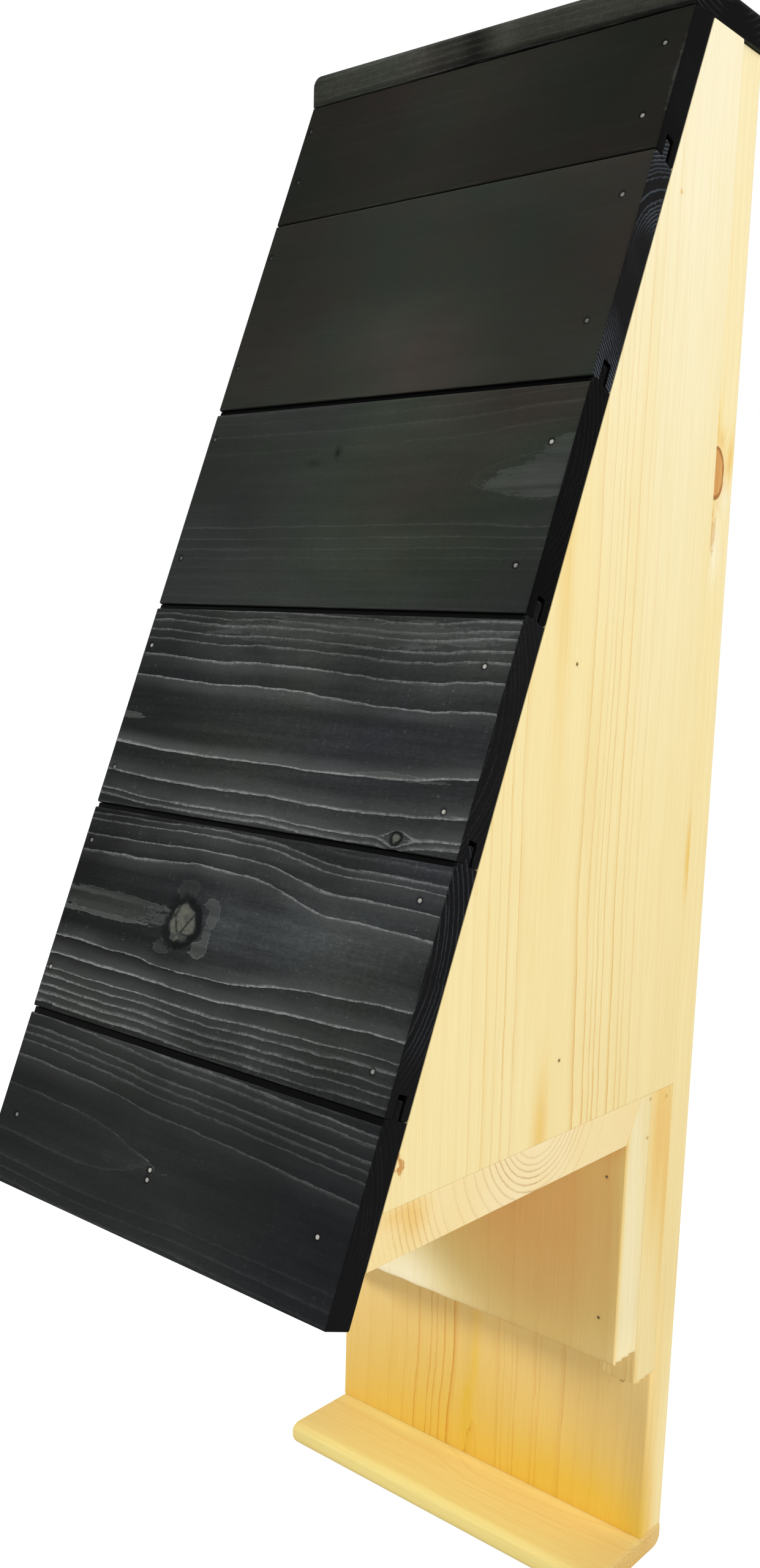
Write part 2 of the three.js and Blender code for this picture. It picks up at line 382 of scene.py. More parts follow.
def grow(mesh, grain, places, wear, layout, fibres, sizes):
    """Writes the wood into the mesh: the attributes that the paint reads, and the relief of the ring
    lines, knots, nail holes and torn fibres, as a shift along the normals. layout turns places into
    along, across and depth. The spacing of the rings is their width over the sine of the angle at
    which they meet the surface. Lights and tones fade like a bell curve."""
    normal = np.empty(len(places) * 3, np.float32)
    mesh.vertex_normals.foreach_get("vector", normal)
    normal = normal.reshape(-1, 3)
    along, across, depth = layout(places)
    outward = np.stack(layout(places + normal)) - np.stack([along, across, depth])
    offset = across - curve(along, grain.centre) + grain.waver * waver(along, across, grain.seed)
    knot = np.full(len(places), NO_KNOT)
    dip, pale, bare, tone = np.zeros((4, len(places)))
    here = np.stack([along, across, depth], 1)
    for centre, reach, sunk in grain.knots:
        away = (here - centre) / reach
        turn = np.arctan2(away[:, 1], away[:, 0])
        ratio = np.linalg.norm(away, axis=1)
        ratio = ratio * (1 + KNOT_WAVE * np.sin(3 * turn + grain.seed) + KNOT_RIPPLE * np.sin(7 * turn))
        knot = np.minimum(knot, ratio + BARK_WIDTH * (1 / reach[1] - 1 / LARGE_KNOT))
        offset = offset - np.sign(away[:, 1]) * PUSH * reach[1] * np.exp(-(ratio / PUSH_REACH) ** 2)
        dip -= sunk * np.exp(-((ratio - 1) / DIP_WIDTH) ** 2)
    to_pith = curve(along, grain.pith) + grain.pith_side * depth
    radius = np.hypot(to_pith, offset)
    count, strength, width = ring_count(radius, offset, grain)
    strength = strength * curve(along, grain.fade)
    along_radius = (offset * outward[1] + grain.pith_side * to_pith * outward[2]) / radius
    spacing = np.minimum(width / np.sqrt(np.maximum(1 - along_radius ** 2, LEVEL_LIMIT)), WIDEST_RING)
    for centre, reach, amount in grain.spots:
        shape = np.clip(SPOT_EDGE - np.linalg.norm((here - centre) / reach, axis=1), 0, 1)
        bare = np.where(shape > pale, amount, bare)
        pale = np.maximum(pale, shape)
    # Tones, partly painted bounce light on the raw wood, and shade and lights, mostly painted light and
    # shade.
    for centre, reach, amount in grain.tones:
        tone += amount * np.exp(-(((places - centre) / reach) ** 2).sum(1))
    shade = curve(along, grain.shade)
    for centre, reach, amount in grain.lights:
        shade *= 1 + amount * np.exp(-(((here - centre) / reach) ** 2).sum(1))
    ends = np.abs(normal @ np.array(fibres, np.float32))
    # Painted shade: the stain is painted black behind the face, in the joints, and dark in the dips round the
    # nails.
    hole = grain.joint_shade * np.clip((depth - SKIN) / JOINT_FADE, 0, 1) * np.clip(1 - 2 * ends, 0, 1)
    for n_along, n_across, _ in grain.nails:
        gap = np.hypot(along - n_along, across - n_across)
        hole = np.maximum(hole, np.exp(-(gap / (sizes.hole_radius / MM)) ** 4) * (depth < NAIL_LAYER))
    ridge = np.exp(-(np.ceil(count) - count) * spacing / RIDGE_WIDTH) * strength * (1 - ends)
    height = grain.relief * sizes.ridge_height / MM * ridge + dip
    height = height - sizes.hole_depth / MM * hole * (depth < SKIN)
    if grain.torn:
        tooth = (places[:, 1] / SPLINTER_WIDTH + SPLINTER_WAVE * np.sin(places[:, 0] / 3)) % 1
        height = height + grain.torn * tooth * (normal[:, 2] < FACING_DOWN)
    mesh.vertices.foreach_set("co", ((places + normal * height[:, None]) * MM).astype(np.float32).ravel())
    keep(mesh, rings=count, spacing=spacing, strength=strength, knot=knot, pale=pale, bare=bare,
         tone=tone, ends=ends, wear=wear, hole=hole, shade=shade)
    mesh.update()


# Paint

class Wire:
    """An output socket. Sums on wires and numbers add Math nodes."""

    def __init__(self, tree, socket):
        self.tree, self.socket = tree, socket

    def maths(self, operation, *values):
        return add_node(self.tree, "ShaderNodeMath", {"operation": operation}, dict(enumerate(values)))

    def __add__(self, other):
        return self.maths("ADD", self, other)

    def __radd__(self, other):
        return self.maths("ADD", other, self)

    def __sub__(self, other):
        return self.maths("SUBTRACT", self, other)

    def __rsub__(self, other):
        return self.maths("SUBTRACT", other, self)

    def __mul__(self, other):
        return self.maths("MULTIPLY", self, other)

    def __rmul__(self, other):
        return self.maths("MULTIPLY", other, self)

    def __truediv__(self, other):
        return self.maths("DIVIDE", self, other)

    def __pow__(self, other):
        return self.maths("POWER", self, other)


def add_node(tree, kind, settings=None, sockets=None, output=0):
    """Adds a node: first its settings, then the values or wires of its sockets. A ramp's stops are a
    list of (place, colour)."""
    node = tree.nodes.new(kind)
    for key, value in (settings or {}).items():
        if key == "stops":
            ramp = node.color_ramp.elements
            while len(ramp) < len(value):
                ramp.new(0.5)
            for element, (place, colour) in zip(ramp, value):
                element.position, element.color = place, (*colour, 1)
        else:
            setattr(node, key, value)
    for key, value in (sockets or {}).items():
        if isinstance(value, Wire):
            tree.links.new(value.socket, node.inputs[key])
        else:
            node.inputs[key].default_value = value
    return Wire(tree, node.outputs[output]) if len(node.outputs) else None


def blend(factor, first, second, how="MIX"):
    """Two colours mixed by a wire, each a wire or a linear colour."""
    sides = {key: value if isinstance(value, Wire) else (*value, 1)
             for key, value in ((6, first), (7, second))}
    return add_node(factor.tree, "ShaderNodeMix", {"data_type": "RGBA", "blend_type": how},
                    {0: factor, **sides}, 2)


def scaled(colour, factor):
    """A colour made lighter or darker. Plain numbers are multiplied in Python."""
    if not isinstance(colour, Wire):
        return [channel * factor for channel in colour]
    return add_node(colour.tree, "ShaderNodeVectorMath", {"operation": "SCALE"},
                    {0: colour, "Scale": factor})


def ease(value, low, high, to_low=0.0, to_high=1.0):
    """A wire mapped smoothly from low..high to to_low..to_high."""
    return add_node(value.tree, "ShaderNodeMapRange", {"interpolation_type": "SMOOTHSTEP"},
                    {"Value": value, "From Min": low, "From Max": high, "To Min": to_low,
                     "To Max": to_high})


def swing(value, reach, amount):
    """A factor about 1: a wire about 0.5 that moves it by the amount at the given distance."""
    return ease(value, 0.5 - reach, 0.5 + reach, 1 - amount, 1 + amount)


def kept(tree, label):
    """Values that keep() has put into the mesh."""
    return add_node(tree, "ShaderNodeAttribute", {"attribute_name": label}, {}, "Fac")


def cloud(tree, scale, detail=2.0, rough=0.5, offset=0.0):
    """Noise of the given number of waves per metre along X, Y and Z, about 0.5 in the mean. The
    offset moves it, so that no two boards look alike."""
    place = add_node(tree, "ShaderNodeTexCoord", {}, {}, "Object")
    place = add_node(tree, "ShaderNodeMapping", {}, {"Vector": place, "Scale": scale,
                                                     "Location": (offset, 1.7 * offset, -offset)})
    return add_node(tree, "ShaderNodeTexNoise", {}, {"Vector": place, "Scale": 1.0, "Detail": detail,
                                                     "Roughness": rough})


def along_fibres(fibres, lengthwise, crosswise):
    """Waves per metre for a pattern that runs with the fibres."""
    return tuple(lengthwise if axis else crosswise for axis in fibres)


def start_paint(name):
    """A new material, its node tree and its shader."""
    material = bpy.data.materials.new(name)
    material.use_nodes = True
    tree = material.node_tree
    return material, tree, tree.nodes["Principled BSDF"]


def finish_paint(tree, shader, colour, roughness, height, specular):
    """Joins the varying wires to the shader and sets its constants. Height is in millimetres."""
    tree.links.new(colour.socket, shader.inputs["Base Color"])
    tree.links.new(roughness.socket, shader.inputs["Roughness"])
    bump = add_node(tree, "ShaderNodeBump", {}, {"Strength": 1.0, "Distance": MM, "Height": height})
    tree.links.new(bump.socket, shader.inputs["Normal"])
    shader.inputs["Specular IOR Level"].default_value = specular


def ring_wires(tree, fibres, offset, ragged_by):
    """How far the next ring line is, as a share of the ring and in millimetres, made ragged."""
    spacing = kept(tree, "spacing")
    ragged = (cloud(tree, along_fibres(fibres, 130, 500), 3, 0.6, offset) - 0.5) * ragged_by / spacing
    count = kept(tree, "rings") + ragged
    share = 1.0 - count.maths("FRACT", count)
    return share, share * spacing


def spruce_paint(name, fibres, colours, offset=0.0, warm=None):
    """Planed raw spruce: cream early wood, ochre late wood, fine fibres, brown knots and marks. warm
    is the colour of the warmest tone."""
    material, tree, shader = start_paint(f"{name}_spruce")
    share, gap = ring_wires(tree, fibres, offset, 0.8)
    strength = kept(tree, "strength")
    fibre = cloud(tree, along_fibres(fibres, 30, 1300), 4, 0.62, offset)
    broad = cloud(tree, along_fibres(fibres, 5, 40), 3, 0.5, offset + 3)
    pores = cloud(tree, along_fibres(fibres, 90, 2600), 2, 0.7, offset + 7)
    ends = kept(tree, "ends")
    tone = kept(tree, "tone") + (broad - 0.5) * 0.4
    wood = add_node(tree, "ShaderNodeValToRGB", {"stops": [
        (0.0, colours.pale), (0.4, colours.cream), (0.7, colours.honey), (1.0, warm or colours.amber)]},
        {"Fac": tone * 0.5 + 0.4})
    late = ease(share, 0.5, 0.0) ** 2.0 * 0.6 + ease(gap, 1.1, 0.1) * 0.6
    line = late * strength * ease(broad, 0.25, 0.7, 0.55, 1.1)
    wood = blend(line, wood, blend(ends, colours.late_tint, colours.end_ring), "MULTIPLY")
    wood = blend(ease(fibre, 0.35, 0.75, 0.0, 0.4), wood, colours.fibre_tint, "MULTIPLY")
    wood = blend(ease(pores, 0.64, 0.80, 0.0, 0.3) * (1 - ends), wood, colours.pore_tint,
                 "MULTIPLY")
    wood = blend(ends * ease(pores, 0.3, 0.7, 0.3, 0.7), wood, colours.end_tint, "MULTIPLY")
    knot = kept(tree, "knot")
    grown = cloud(tree, (260, 260, 260), 3, 0.6, offset)
    core = ease(knot + (grown - 0.5) * 0.2, 1.05, 0.97)
    bark = ease(knot + (grown - 0.5) * 0.3, 0.78, 0.95) * ease(knot, 1.06, 1.0)
    halo = ease(knot, 2.0, 1.0, 0.0, 0.3)
    wood = blend(halo, wood, colours.halo_tint, "MULTIPLY")
    heart = blend(ease(fibre, 0.4, 0.6), colours.knot, colours.knot_light)
    wood = blend(core * 0.9, wood, heart)
    wood = blend(bark * 0.75, wood, colours.bark)
    torn = cloud(tree, along_fibres(fibres, 300, 900), 4, 0.65, offset + 5)
    marks = ease(kept(tree, "pale") + (torn - 0.5) * 3.0, 0.5, 0.7)
    wood = blend(marks * kept(tree, "bare"), wood, colours.knot)
    # shade: painted light and shade on the raw wood, such as the lift under the entrance panel and the darker
    # top of the panel.
    wood = scaled(wood, kept(tree, "shade"))
    roughness = 0.62 - late * strength * 0.1 + (fibre - 0.5) * 0.2
    height = late * strength * 0.03 + fibre * 0.04 + pores * 0.02
    finish_paint(tree, shader, wood, roughness, height, 0.3)
    return material


HOLE_LEVEL = 0.3        # lightness of holes and of the painted shade in the joints, against soaked ends


def stain_paint(name, grain, colours, offset=0.0):
    """Black stain on sawn spruce: it lies thin on the hard ring lines, which stand up and catch the light,
    and on the wood just inside them. The light colour of these lines is partly thin stain and partly a
    painted sheen.
    It soaks deep into the ends. Saw marks across the fibres break up the lines of a rough board, and torn
    grain leaves ragged pale patches with light rims."""
    material, tree, shader = start_paint(f"{name}_stain")
    rough = grain.rough
    gap = ring_wires(tree, ALONG_X, offset, 1.3)[1]
    strength = kept(tree, "strength")
    fibre = cloud(tree, along_fibres(ALONG_X, 60, 1500), 4, 0.65, offset)
    broad = cloud(tree, (9, 16, 16), 3, 0.55, offset + 3)
    streaks = cloud(tree, along_fibres(ALONG_X, 12, 240), 3, 0.6, offset + 5)
    broken = cloud(tree, along_fibres(ALONG_X, 420, 1500), 3, 0.65, offset + 9)
    saw = cloud(tree, along_fibres(ALONG_X, 1000, 170), 3, 0.6, offset + 11)
    grown = cloud(tree, (480, 480, 480), 4, 0.7, offset)
    ends = kept(tree, "ends")
    patches = cloud(tree, (15, 22, 22), 3, 0.55, offset + 17)
    tone = kept(tree, "tone") + (patches - 0.5) * grain.mottle
    stain = add_node(tree, "ShaderNodeValToRGB", {"stops": [
        (0.0, colours.stain_red), (0.25, colours.stain_green), (0.5, colours.stain),
        (0.75, colours.stain_blue)]}, {"Fac": tone * 0.25 + 0.5})
    # The stain's level; its shade curve paints a reflection on the front boards, brighter in the middle of
    # each board.
    level = kept(tree, "shade") * swing(streaks, 0.25, 0.25 * rough) * swing(broad, 0.2, 0.16)
    level = level * swing(broken, 0.25, 0.22 * rough) * swing(saw, 0.2, 0.08 * rough)
    stain = scaled(stain, level)
    # The ring lines and the soft band beside them take the ridge colour: thin stain on raised wood, and a
    # painted sheen.
    glow = ease(gap, 13.0, 0.0) ** 2.2 * strength * ease(broad, 0.35, 0.6, 0.06, 0.25)
    width = ease(streaks, 0.35, 0.7, 0.8, 1.9)
    line = ease(gap, width, 0.2) * strength * ease(broad, 0.3, 0.65, 0.45, 1.0)
    line = line * ease(broken, 0.32, 0.6, 0.45, 1.2)
    line = line * ease(saw, 0.3, 0.55, 1 - 0.5 * rough, 1.1)
    specks = ease(broken + saw, 1.2, 1.36) * ease(streaks, 0.42, 0.6) * (0.3 * rough ** 2)
    stain = blend(glow + line.maths("MAXIMUM", line, specks), stain, colours.ridge)
    drawn = cloud(tree, along_fibres(ALONG_X, 70, 420), 3, 0.6, offset + 13)
    pale = kept(tree, "pale") + (grown - 0.5) * 0.7 + (drawn - 0.5) * 1.8
    bare = kept(tree, "bare") * ease(streaks, 0.3, 0.7, 0.5, 1.25)
    rims = ease(pale, 0.36, 0.46) * ease(pale, 0.66, 0.5)
    stain = blend(ease(pale, 0.3, 0.8) * bare, stain, colours.thin_stain)
    stain = blend(rims * bare * (0.55 * rough), stain, colours.ridge)
    knot = kept(tree, "knot") + (grown - 0.5) * 0.5
    cracks = add_node(tree, "ShaderNodeTexVoronoi", {"feature": "DISTANCE_TO_EDGE"},
                      {"Vector": add_node(tree, "ShaderNodeTexCoord", {}, {}, "Object"), "Scale": 120.0},
                      "Distance")
    core = ease(knot, 0.7, 0.58) * ease(cracks + (grown - 0.5) * 0.12, 0.0, 0.1, 0.1, 1.0)
    bark = ease(knot, 0.62, 0.76) * ease(knot, 1.12, 0.9)
    stain = blend(bark * 0.85, stain, colours.stain_end)
    stain = blend(core * ease(grown, 0.3, 0.6, 0.45, 0.95), stain, colours.bare_knot)
    rubbed = kept(tree, "wear") * ease(fibre, 0.48, 0.72)
    stain = blend(rubbed * (0.08 + 0.12 * rough), stain, colours.ridge)
    stain = blend(ends * ease(fibre, 0.4, 0.75, 1.0, 0.9), stain,
                  scaled(colours.stain_end, grain.end_level))
    arcs = ends * ease(gap, 0.9, 0.2) * ease(broad, 0.38, 0.58) * grain.end_lines
    stain = blend(arcs, stain, colours.end_ridge)
    # Dark nail holes, and the painted shade that blackens the joints.
    hole = kept(tree, "hole")
    stain = blend(hole, stain, scaled(colours.stain_end, HOLE_LEVEL))
    roughness = 0.6 - line * 0.12 + (fibre - 0.5) * 0.25
    height = (line + saw * 0.6) * (0.06 * rough) + broken * (0.04 * rough) + fibre * (0.03 * rough + 0.01)
    finish_paint(tree, shader, stain, roughness, height * (1 - hole), grain.sheen)
    return material


# Boards

def add_piece(name, mesh, material, slot, *replaced):
    """Puts a finished mesh into the scene, in the place of the CAD solids that are named."""
    mesh.materials.append(material)
    piece = bpy.data.objects.new(name, mesh)
    bpy.context.scene.collection.objects.link(piece)
    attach(piece, "root")
    if replaced:
        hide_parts(*replaced)


def on_slant(depth, height):
    """Y and Z of a place in the cladding's frame."""
    sine, cosine = LEAN
    return SIDE_LOW[1] + depth * cosine + height * sine, SIDE_LOW[2] - depth * sine + height * cosine


def build_board(name, slot, section, ends, grain, layout, fibres, material, sizes, steps, zones=(),
                squeeze=None):
    """Makes a board from its section. ends are its two ends along X, steps the spacing of the points
    over the ends, in Y and in Z, and between the rows along X. Squeezed ends have no arris."""
    arris = 0 if squeeze else sizes.end_arris / MM
    mesh, places, wear = solid_board(f"{name}_wood", section, *ends, arris, steps[:2], steps[2], zones,
                                     squeeze)
    grow(mesh, grain, places, wear, layout, fibres, sizes)
    add_piece(f"{name}_wood", mesh, material, slot, name)


def lying(top, sign=-1):
    """The layout of a board that lies flat: along X, across Y and in from its top."""
    return lambda p: (p[:, 0], sign * p[:, 1], top - p[:, 2])


def standing(face, sign=1):
    """The layout of a board that stands upright: along Z, across X and in from its face."""
    return lambda p: (p[:, 2], sign * p[:, 0], p[:, 1] - face)


def roof_cut(depth):
    """The height in the cladding's frame at which a board of this depth meets the roof."""
    return (ROOF_LOW[2] - SEAM - SIDE_LOW[2] + depth * LEAN[0]) / LEAN[1]


FRONT_LIP, GROOVE_WIDTH, GROOVE_DEPTH = 4.2, 4.8, 8.5
TONGUE_PLAY, TONGUE_THICKNESS, TONGUE_HEIGHT = 0.3, 2.9, 6.8
FACE_STEP = 0.55        # spacing of the points up the face
SHUT = 0.15             # what stays open between two boards that touch
SHALLOW_BAND = 1        # a band lower than this is left out


def cladding_section(index):
    """The section of a front board, counted from the lowest one, groove down and tongue up."""
    groove_front = CLADDING_FACE + FRONT_LIP
    groove_rear = groove_front + GROOVE_WIDTH
    face, rear = CLADDING_FACE, CLADDING_REAR
    if index == 0:
        low = JOINTS[0]
        lower = [Corner(rear, low, 0.7, 1.0)]
    else:
        low = JOINTS[index] + JOINT_BANDS[index - 1][1]
        lower = [Corner(rear, low, 1.1, 1.0), Corner(groove_rear, low, 0.35, 1.0),
                 Corner(groove_rear, low + GROOVE_DEPTH, 0.35, 1.0),
                 Corner(groove_front, low + GROOVE_DEPTH, 0.35, 1.0), Corner(groove_front, low, 0.35, 1.0)]
    lower.append(Corner(face, low, 0.6, FACE_STEP))
    if index == len(JOINTS) - 1:
        upper = [Corner(face, roof_cut(face), 0.3, 1.2), Corner(rear, roof_cut(rear), 0.3, 2.5)]
    else:
        band_low, band_high, band_depth = JOINT_BANDS[index]
        low_edge, high = JOINTS[index + 1] + band_low, JOINTS[index + 1] + band_high - SHUT
        front = face + FRONT_LIP + TONGUE_PLAY
        back = front + TONGUE_THICKNESS
        upper = [Corner(face, low_edge, 0.6, 0.5), Corner(face + band_depth, low_edge, 0.3, 0.5),
                 Corner(face + band_depth, high, 0.3, 1.0), Corner(front, high, 0.3, 1.0),
                 Corner(front, high + TONGUE_HEIGHT, 0.6, 1.0),
                 Corner(back, high + TONGUE_HEIGHT, 0.6, 1.0), Corner(back, high, 0.3, 1.0),
                 Corner(rear, high, 0.3, 2.5)]
        if band_high - SHUT - band_low < SHALLOW_BAND:
            del upper[1:3]
    corners = lower + upper
    for corner in corners:
        corner.y, corner.z = on_slant(corner.y, corner.z)
    return corners


def cladding_frame(places):
    """Along, across and depth on the front boards: places turned back by the lean of the front."""
    sine, cosine = LEAN
    y, z = places[:, 1] - SIDE_LOW[1], places[:, 2] - SIDE_LOW[2]
    return places[:, 0], y * sine + z * cosine, y * cosine - z * sine - CLADDING_FACE


WHOLE = (400, 400, 400)     # the reach of a tone that covers the whole box

PLAIN_LINES = ((14, 0.01), (22, 0.01))
# The front boards from the lowest one up. Their shade paints a reflection, brighter in the middle of each
# board, and their joints are painted black as shade.
FRONT_GRAIN = (
    Grain(joint_shade=1.0, seed=6, relief=0.6, faint=0.05, mottle=1.0,
          shade=((-90, 0.5), (0, 0.98), (90, 0.62)),
          lines_up=((18.2, 0.24), (25.0, 0.24), (28.5, 0.2), (31.7, 0.28), (37.0, 0.25), (40.0, 0.4)),
          lines_down=((14.5, 0.05), (19.5, 0.06), (24.0, 0.06)),
          centre=((-95, -11), (0, -13), (95, -15)), rough=0.5,
          pith=((-95, 48.66), (-50, 48.66), (5, 49.6), (20, 49.9), (95, 50.4)),
          tones=(((90, -215, -120), (50, 60, 60), 0.6),),
          nails=((-84.5, -12.5, 0.35), (-2.5, -13, 1), (-2.5, -16.6, 0.8), (81.5, -12.5, 0.9))),
    Grain(joint_shade=1.0, end_level=1.2, seed=5, relief=1.0, faint=0.1, waver=0.4,
          shade=((-90, 0.34), (-60, 0.48), (0, 0.85), (90, 1.0)),
          lights=(((40, 81, 0), (48, 13, 9), 1.7), ((-55, 90, 0), (25, 6, 9), 0.3),
                  ((-3, 79, 0), (12, 10, 9), 0.7)),
          lines_up=((20.8, 0.7), (26.8, 0.65), (32.8, 0.6), (35.3, 0.5)),
          lines_down=((20.7, 0.75), (27.7, 0.9), (33.7, 0.7), (36.9, 0.55), (40.7, 0.55), (43.7, 0.45),
                      (47.2, 0.55)),
          centre=((-95, 79), (-47, 79), (0, 78.7), (47, 77.2), (95, 77)),
          pith=((-95, 50.85), (-47, 50.6), (0, 50.1), (50, 52.4), (95, 52.7)),
          knots=(mark(-24, 76.5, 10.0, 10.6, 0.35),), rough=1.0, end_lines=0.3,
          spots=(mark(-72, 77.5, 36, 5.0, 0.26), mark(-68, 80.5, 32, 1.6, 0.5),
                 mark(-74, 72.6, 28, 1.0, 0.5), mark(-11, 86, 3.2, 2.0, 0.6),
                 mark(-8.5, 81, 2.6, 4.5, 0.55), mark(-9.5, 74, 2.2, 4.0, 0.45),
                 mark(-11.5, 68, 4.0, 2.6, 0.55), mark(-26, 89, 5.0, 4.2, 0.14),
                 mark(-31, 66, 5, 2.6, 0.2), mark(-24, 70.5, 5, 1.4, 0.25)),
          tones=(((90, -160, 10), (30, 60, 30), 0.6), ((5, -130, 40), (14, 60, 8), -0.9)),
          nails=((-91, 101, 0.3), (-92, 47, 0.7), (84.5, 102, 0.7), (85, 43.5, 0.5))),
    Grain(joint_shade=1.0, seed=4, relief=1.0, faint=0.1, waver=0.5,
          shade=((-90, 0.5), (0, 1.14), (90, 1.12)),
          lines_up=((15.3, 0.75), (24.8, 0.7), (31.8, 0.5), (35.6, 0.5), (40.0, 0.55), (42.6, 0.35),
                    (46.3, 0.5)),
          lines_down=((14.7, 0.9), (27.0, 0.7), (35.0, 0.7), (37.5, 0.5)),
          centre=((-95, 158.5), (-47, 156.3), (0, 155.7), (47, 154.5), (95, 156)),
          pith=((-95, 50), (0, 50), (47, 50.5), (95, 50.85)),
          knots=(mark(67, 121.5, 4.0, 4.2, 0.3),), rough=1.0,
          spots=(mark(-93, 155.3, 9, 1.3, 0.6), mark(58, 142.6, 20, 1.3, 0.45),
                 mark(20, 195, 60, 5, 0.2)),
          tones=(((10, -120, 105), (45, 60, 14), -1.0), ((70, -120, 60), (60, 60, 60), 0.3)),
          nails=((-91.5, 186, 0.7), (-91, 132.5, 0.3), (84, 185, 0.9), (84, 133, 0.8))),
    Grain(joint_shade=1.0, end_level=0.4, sheen=0.025, seed=3, faint=0.015, mottle=2.8,
          shade=((-90, 1.15), (0, 1.8), (90, 1.28)),
          lights=(((60, 283, 0), (30, 10, 9), -0.15), ((-16.5, 269, 0), (1.4, 2.2, 9), -0.75),
                  ((-28, 265, 0), (3.6, 1.6, 9), -0.4)),
          lines_up=((17.5, 0.03), (25.3, 0.05), (31.0, 0.03), (35.5, 0.05)),
          lines_down=((16.5, 0.1), (21.5, 0.08), (26.0, 0.06), (30.0, 0.04), (34.0, 0.03)),
          centre=((-95, 254.5), (0, 254), (95, 256)),
          pith=((-95, 50), (0, 50), (40, 49.8), (95, 48.6)),
          knots=(mark(-16.5, 269, 1.6, 1.9, 0.1), mark(-28, 265, 3.4, 1.5, 0)), rough=0.3,
          spots=(mark(89, 255.5, 18, 8, 0.36), mark(72, 253, 11, 3, 0.32),
                 mark(95, 264, 10, 6, 0.3)),
          tones=(((0, -120, 160), WHOLE, -0.45), ((70, -100, 175), (40, 30, 22), -1.8),
                 ((10, -130, 140), (50, 50, 30), -0.9), ((-70, -130, 145), (35, 50, 30), 0.3)),
          nails=((-92, 279, 0.12), (-90, 225, 0.12), (85.5, 268, 0.9), (85, 222, 0.4))),
    Grain(joint_shade=1.0, seed=2, relief=0.15, faint=0.008, mottle=3.5,
          shade=((-90, 0.72), (0, 1.4), (90, 1.12)),
          lights=(((0, 315, 0), (60, 18, 9), 0.18), ((60, 365, 0), (45, 18, 9), -0.1)),
          lines_up=PLAIN_LINES, lines_down=PLAIN_LINES,
          centre=((0, 345),), pith=((0, 28),), face_pith=28.0, pith_side=-1,
          ring=1.3, tones=(((0, -80, 220), WHOLE, -1.4), ((80, -80, 235), (40, 60, 40), -0.4)),
          end_lines=0.9,
          nails=((-92, 364, 0.01), (-91.5, 312, 0.02), (86, 363, 0.4), (86, 314, 0.22))),
    Grain(joint_shade=1.0, end_level=0.4, sheen=0.025, seed=11, relief=0.15, faint=0.008, mottle=3.5,
          shade=((-90, 0.5), (0, 0.93), (90, 0.68)),
          lines_up=PLAIN_LINES, lines_down=PLAIN_LINES,
          centre=((-95, 400), (95, 402)), pith=((-95, 45), (95, 46)), face_pith=45.0, ring=2.0,
          spots=(mark(94.5, 408, 1.2, 14, 0.3),),
          tones=(((0, -60, 280), WHOLE, -1.4), ((95, -60, 280), (40, 60, 60), -0.5)),
          nails=((-92, 425, 0.02), (-90, 400, 0.01), (86, 423.5, 0.4), (85, 394.5, 0.6))),
)


# Stretches of the front boards with closer rows of points: at the nails of every board, and at the
# other nails or the knot of single boards.
NAIL_ZONES = ((-94, -88), (81, 89))
MORE_ZONES = {0: ((-87, -82), (-6, 1)), 1: ((-36, 0),)}
NOISE_SHIFT = 2.3       # shifts the noise of the paint from board to board


def build_cladding(colours, sizes):
    """The six front boards."""
    for index, grain in enumerate(FRONT_GRAIN):
        name = f"front_board_{len(FRONT_GRAIN) - index}"
        build_board(name, "black_cladding", cladding_section(index), (-HALF_WIDTH, HALF_WIDTH), grain,
                    cladding_frame, ALONG_X,
                    stain_paint(name, grain, colours, index * NOISE_SHIFT), sizes,
                    (1.3, 1.3, 1.7), NAIL_ZONES + MORE_ZONES.get(index, ()))


ROOF_GRAIN = Grain(
    seed=21, faint=0.06, ring=2.4, rough=0.7, end_lines=0.4, end_level=0.3, sheen=0.02,
    mottle=2.2, shade=((0, 1.95),),
    lines_up=((14, 0.1), (22, 0.1), (28, 0.1)), lines_down=((14, 0.1), (22, 0.1), (29, 0.1)),
    centre=((-95, 32), (0, 30), (95, 36)), pith=((-95, 40), (95, 41)), face_pith=40.0,
    tones=(((0, -40, 320), WHOLE, -1.3), ((-70, -57, 320), (35, 5, 30), -0.4)),
    # The first two lights are a painted shadow line along the lower front edge; the others make the front
    # lighter and darker in patches.
    lights=(((15, ROOF_DEPTH, ROOF_THICKNESS), (75, 3, 2.6), -0.9),
            ((95, ROOF_DEPTH, ROOF_THICKNESS), (50, 3, 2.6), -0.9),
            ((-5, ROOF_DEPTH, 9), (8, 3, 40), -0.75), ((-20, ROOF_DEPTH, 9), (12, 3, 40), -0.5),
            ((11, ROOF_DEPTH, 9), (7, 3, 40), 0.4), ((-95, ROOF_DEPTH, 9), (16, 3, 40), -0.25)))


def build_roof(colours, sizes):
    """The roof board, rounded along its upper front edge and at its ends."""
    low, high = ROOF_LOW, ROOF_HIGH
    section = [Corner(high[1], low[2], 0.4, 2.0), Corner(low[1], low[2], 0.5, 0.6),
               Corner(low[1], high[2], 3.0, 0.7), Corner(high[1], high[2], 0.6, 1.0)]
    build_board("roof_board", "black_roof", section, (low[0], high[0]), ROOF_GRAIN, lying(high[2]), ALONG_X,
                stain_paint("roof_board", ROOF_GRAIN, colours, 31), sizes, (1.2, 1.2, 1.7),
                squeeze=((low[1] / 2, low[2]), (0.4, 3.0)))


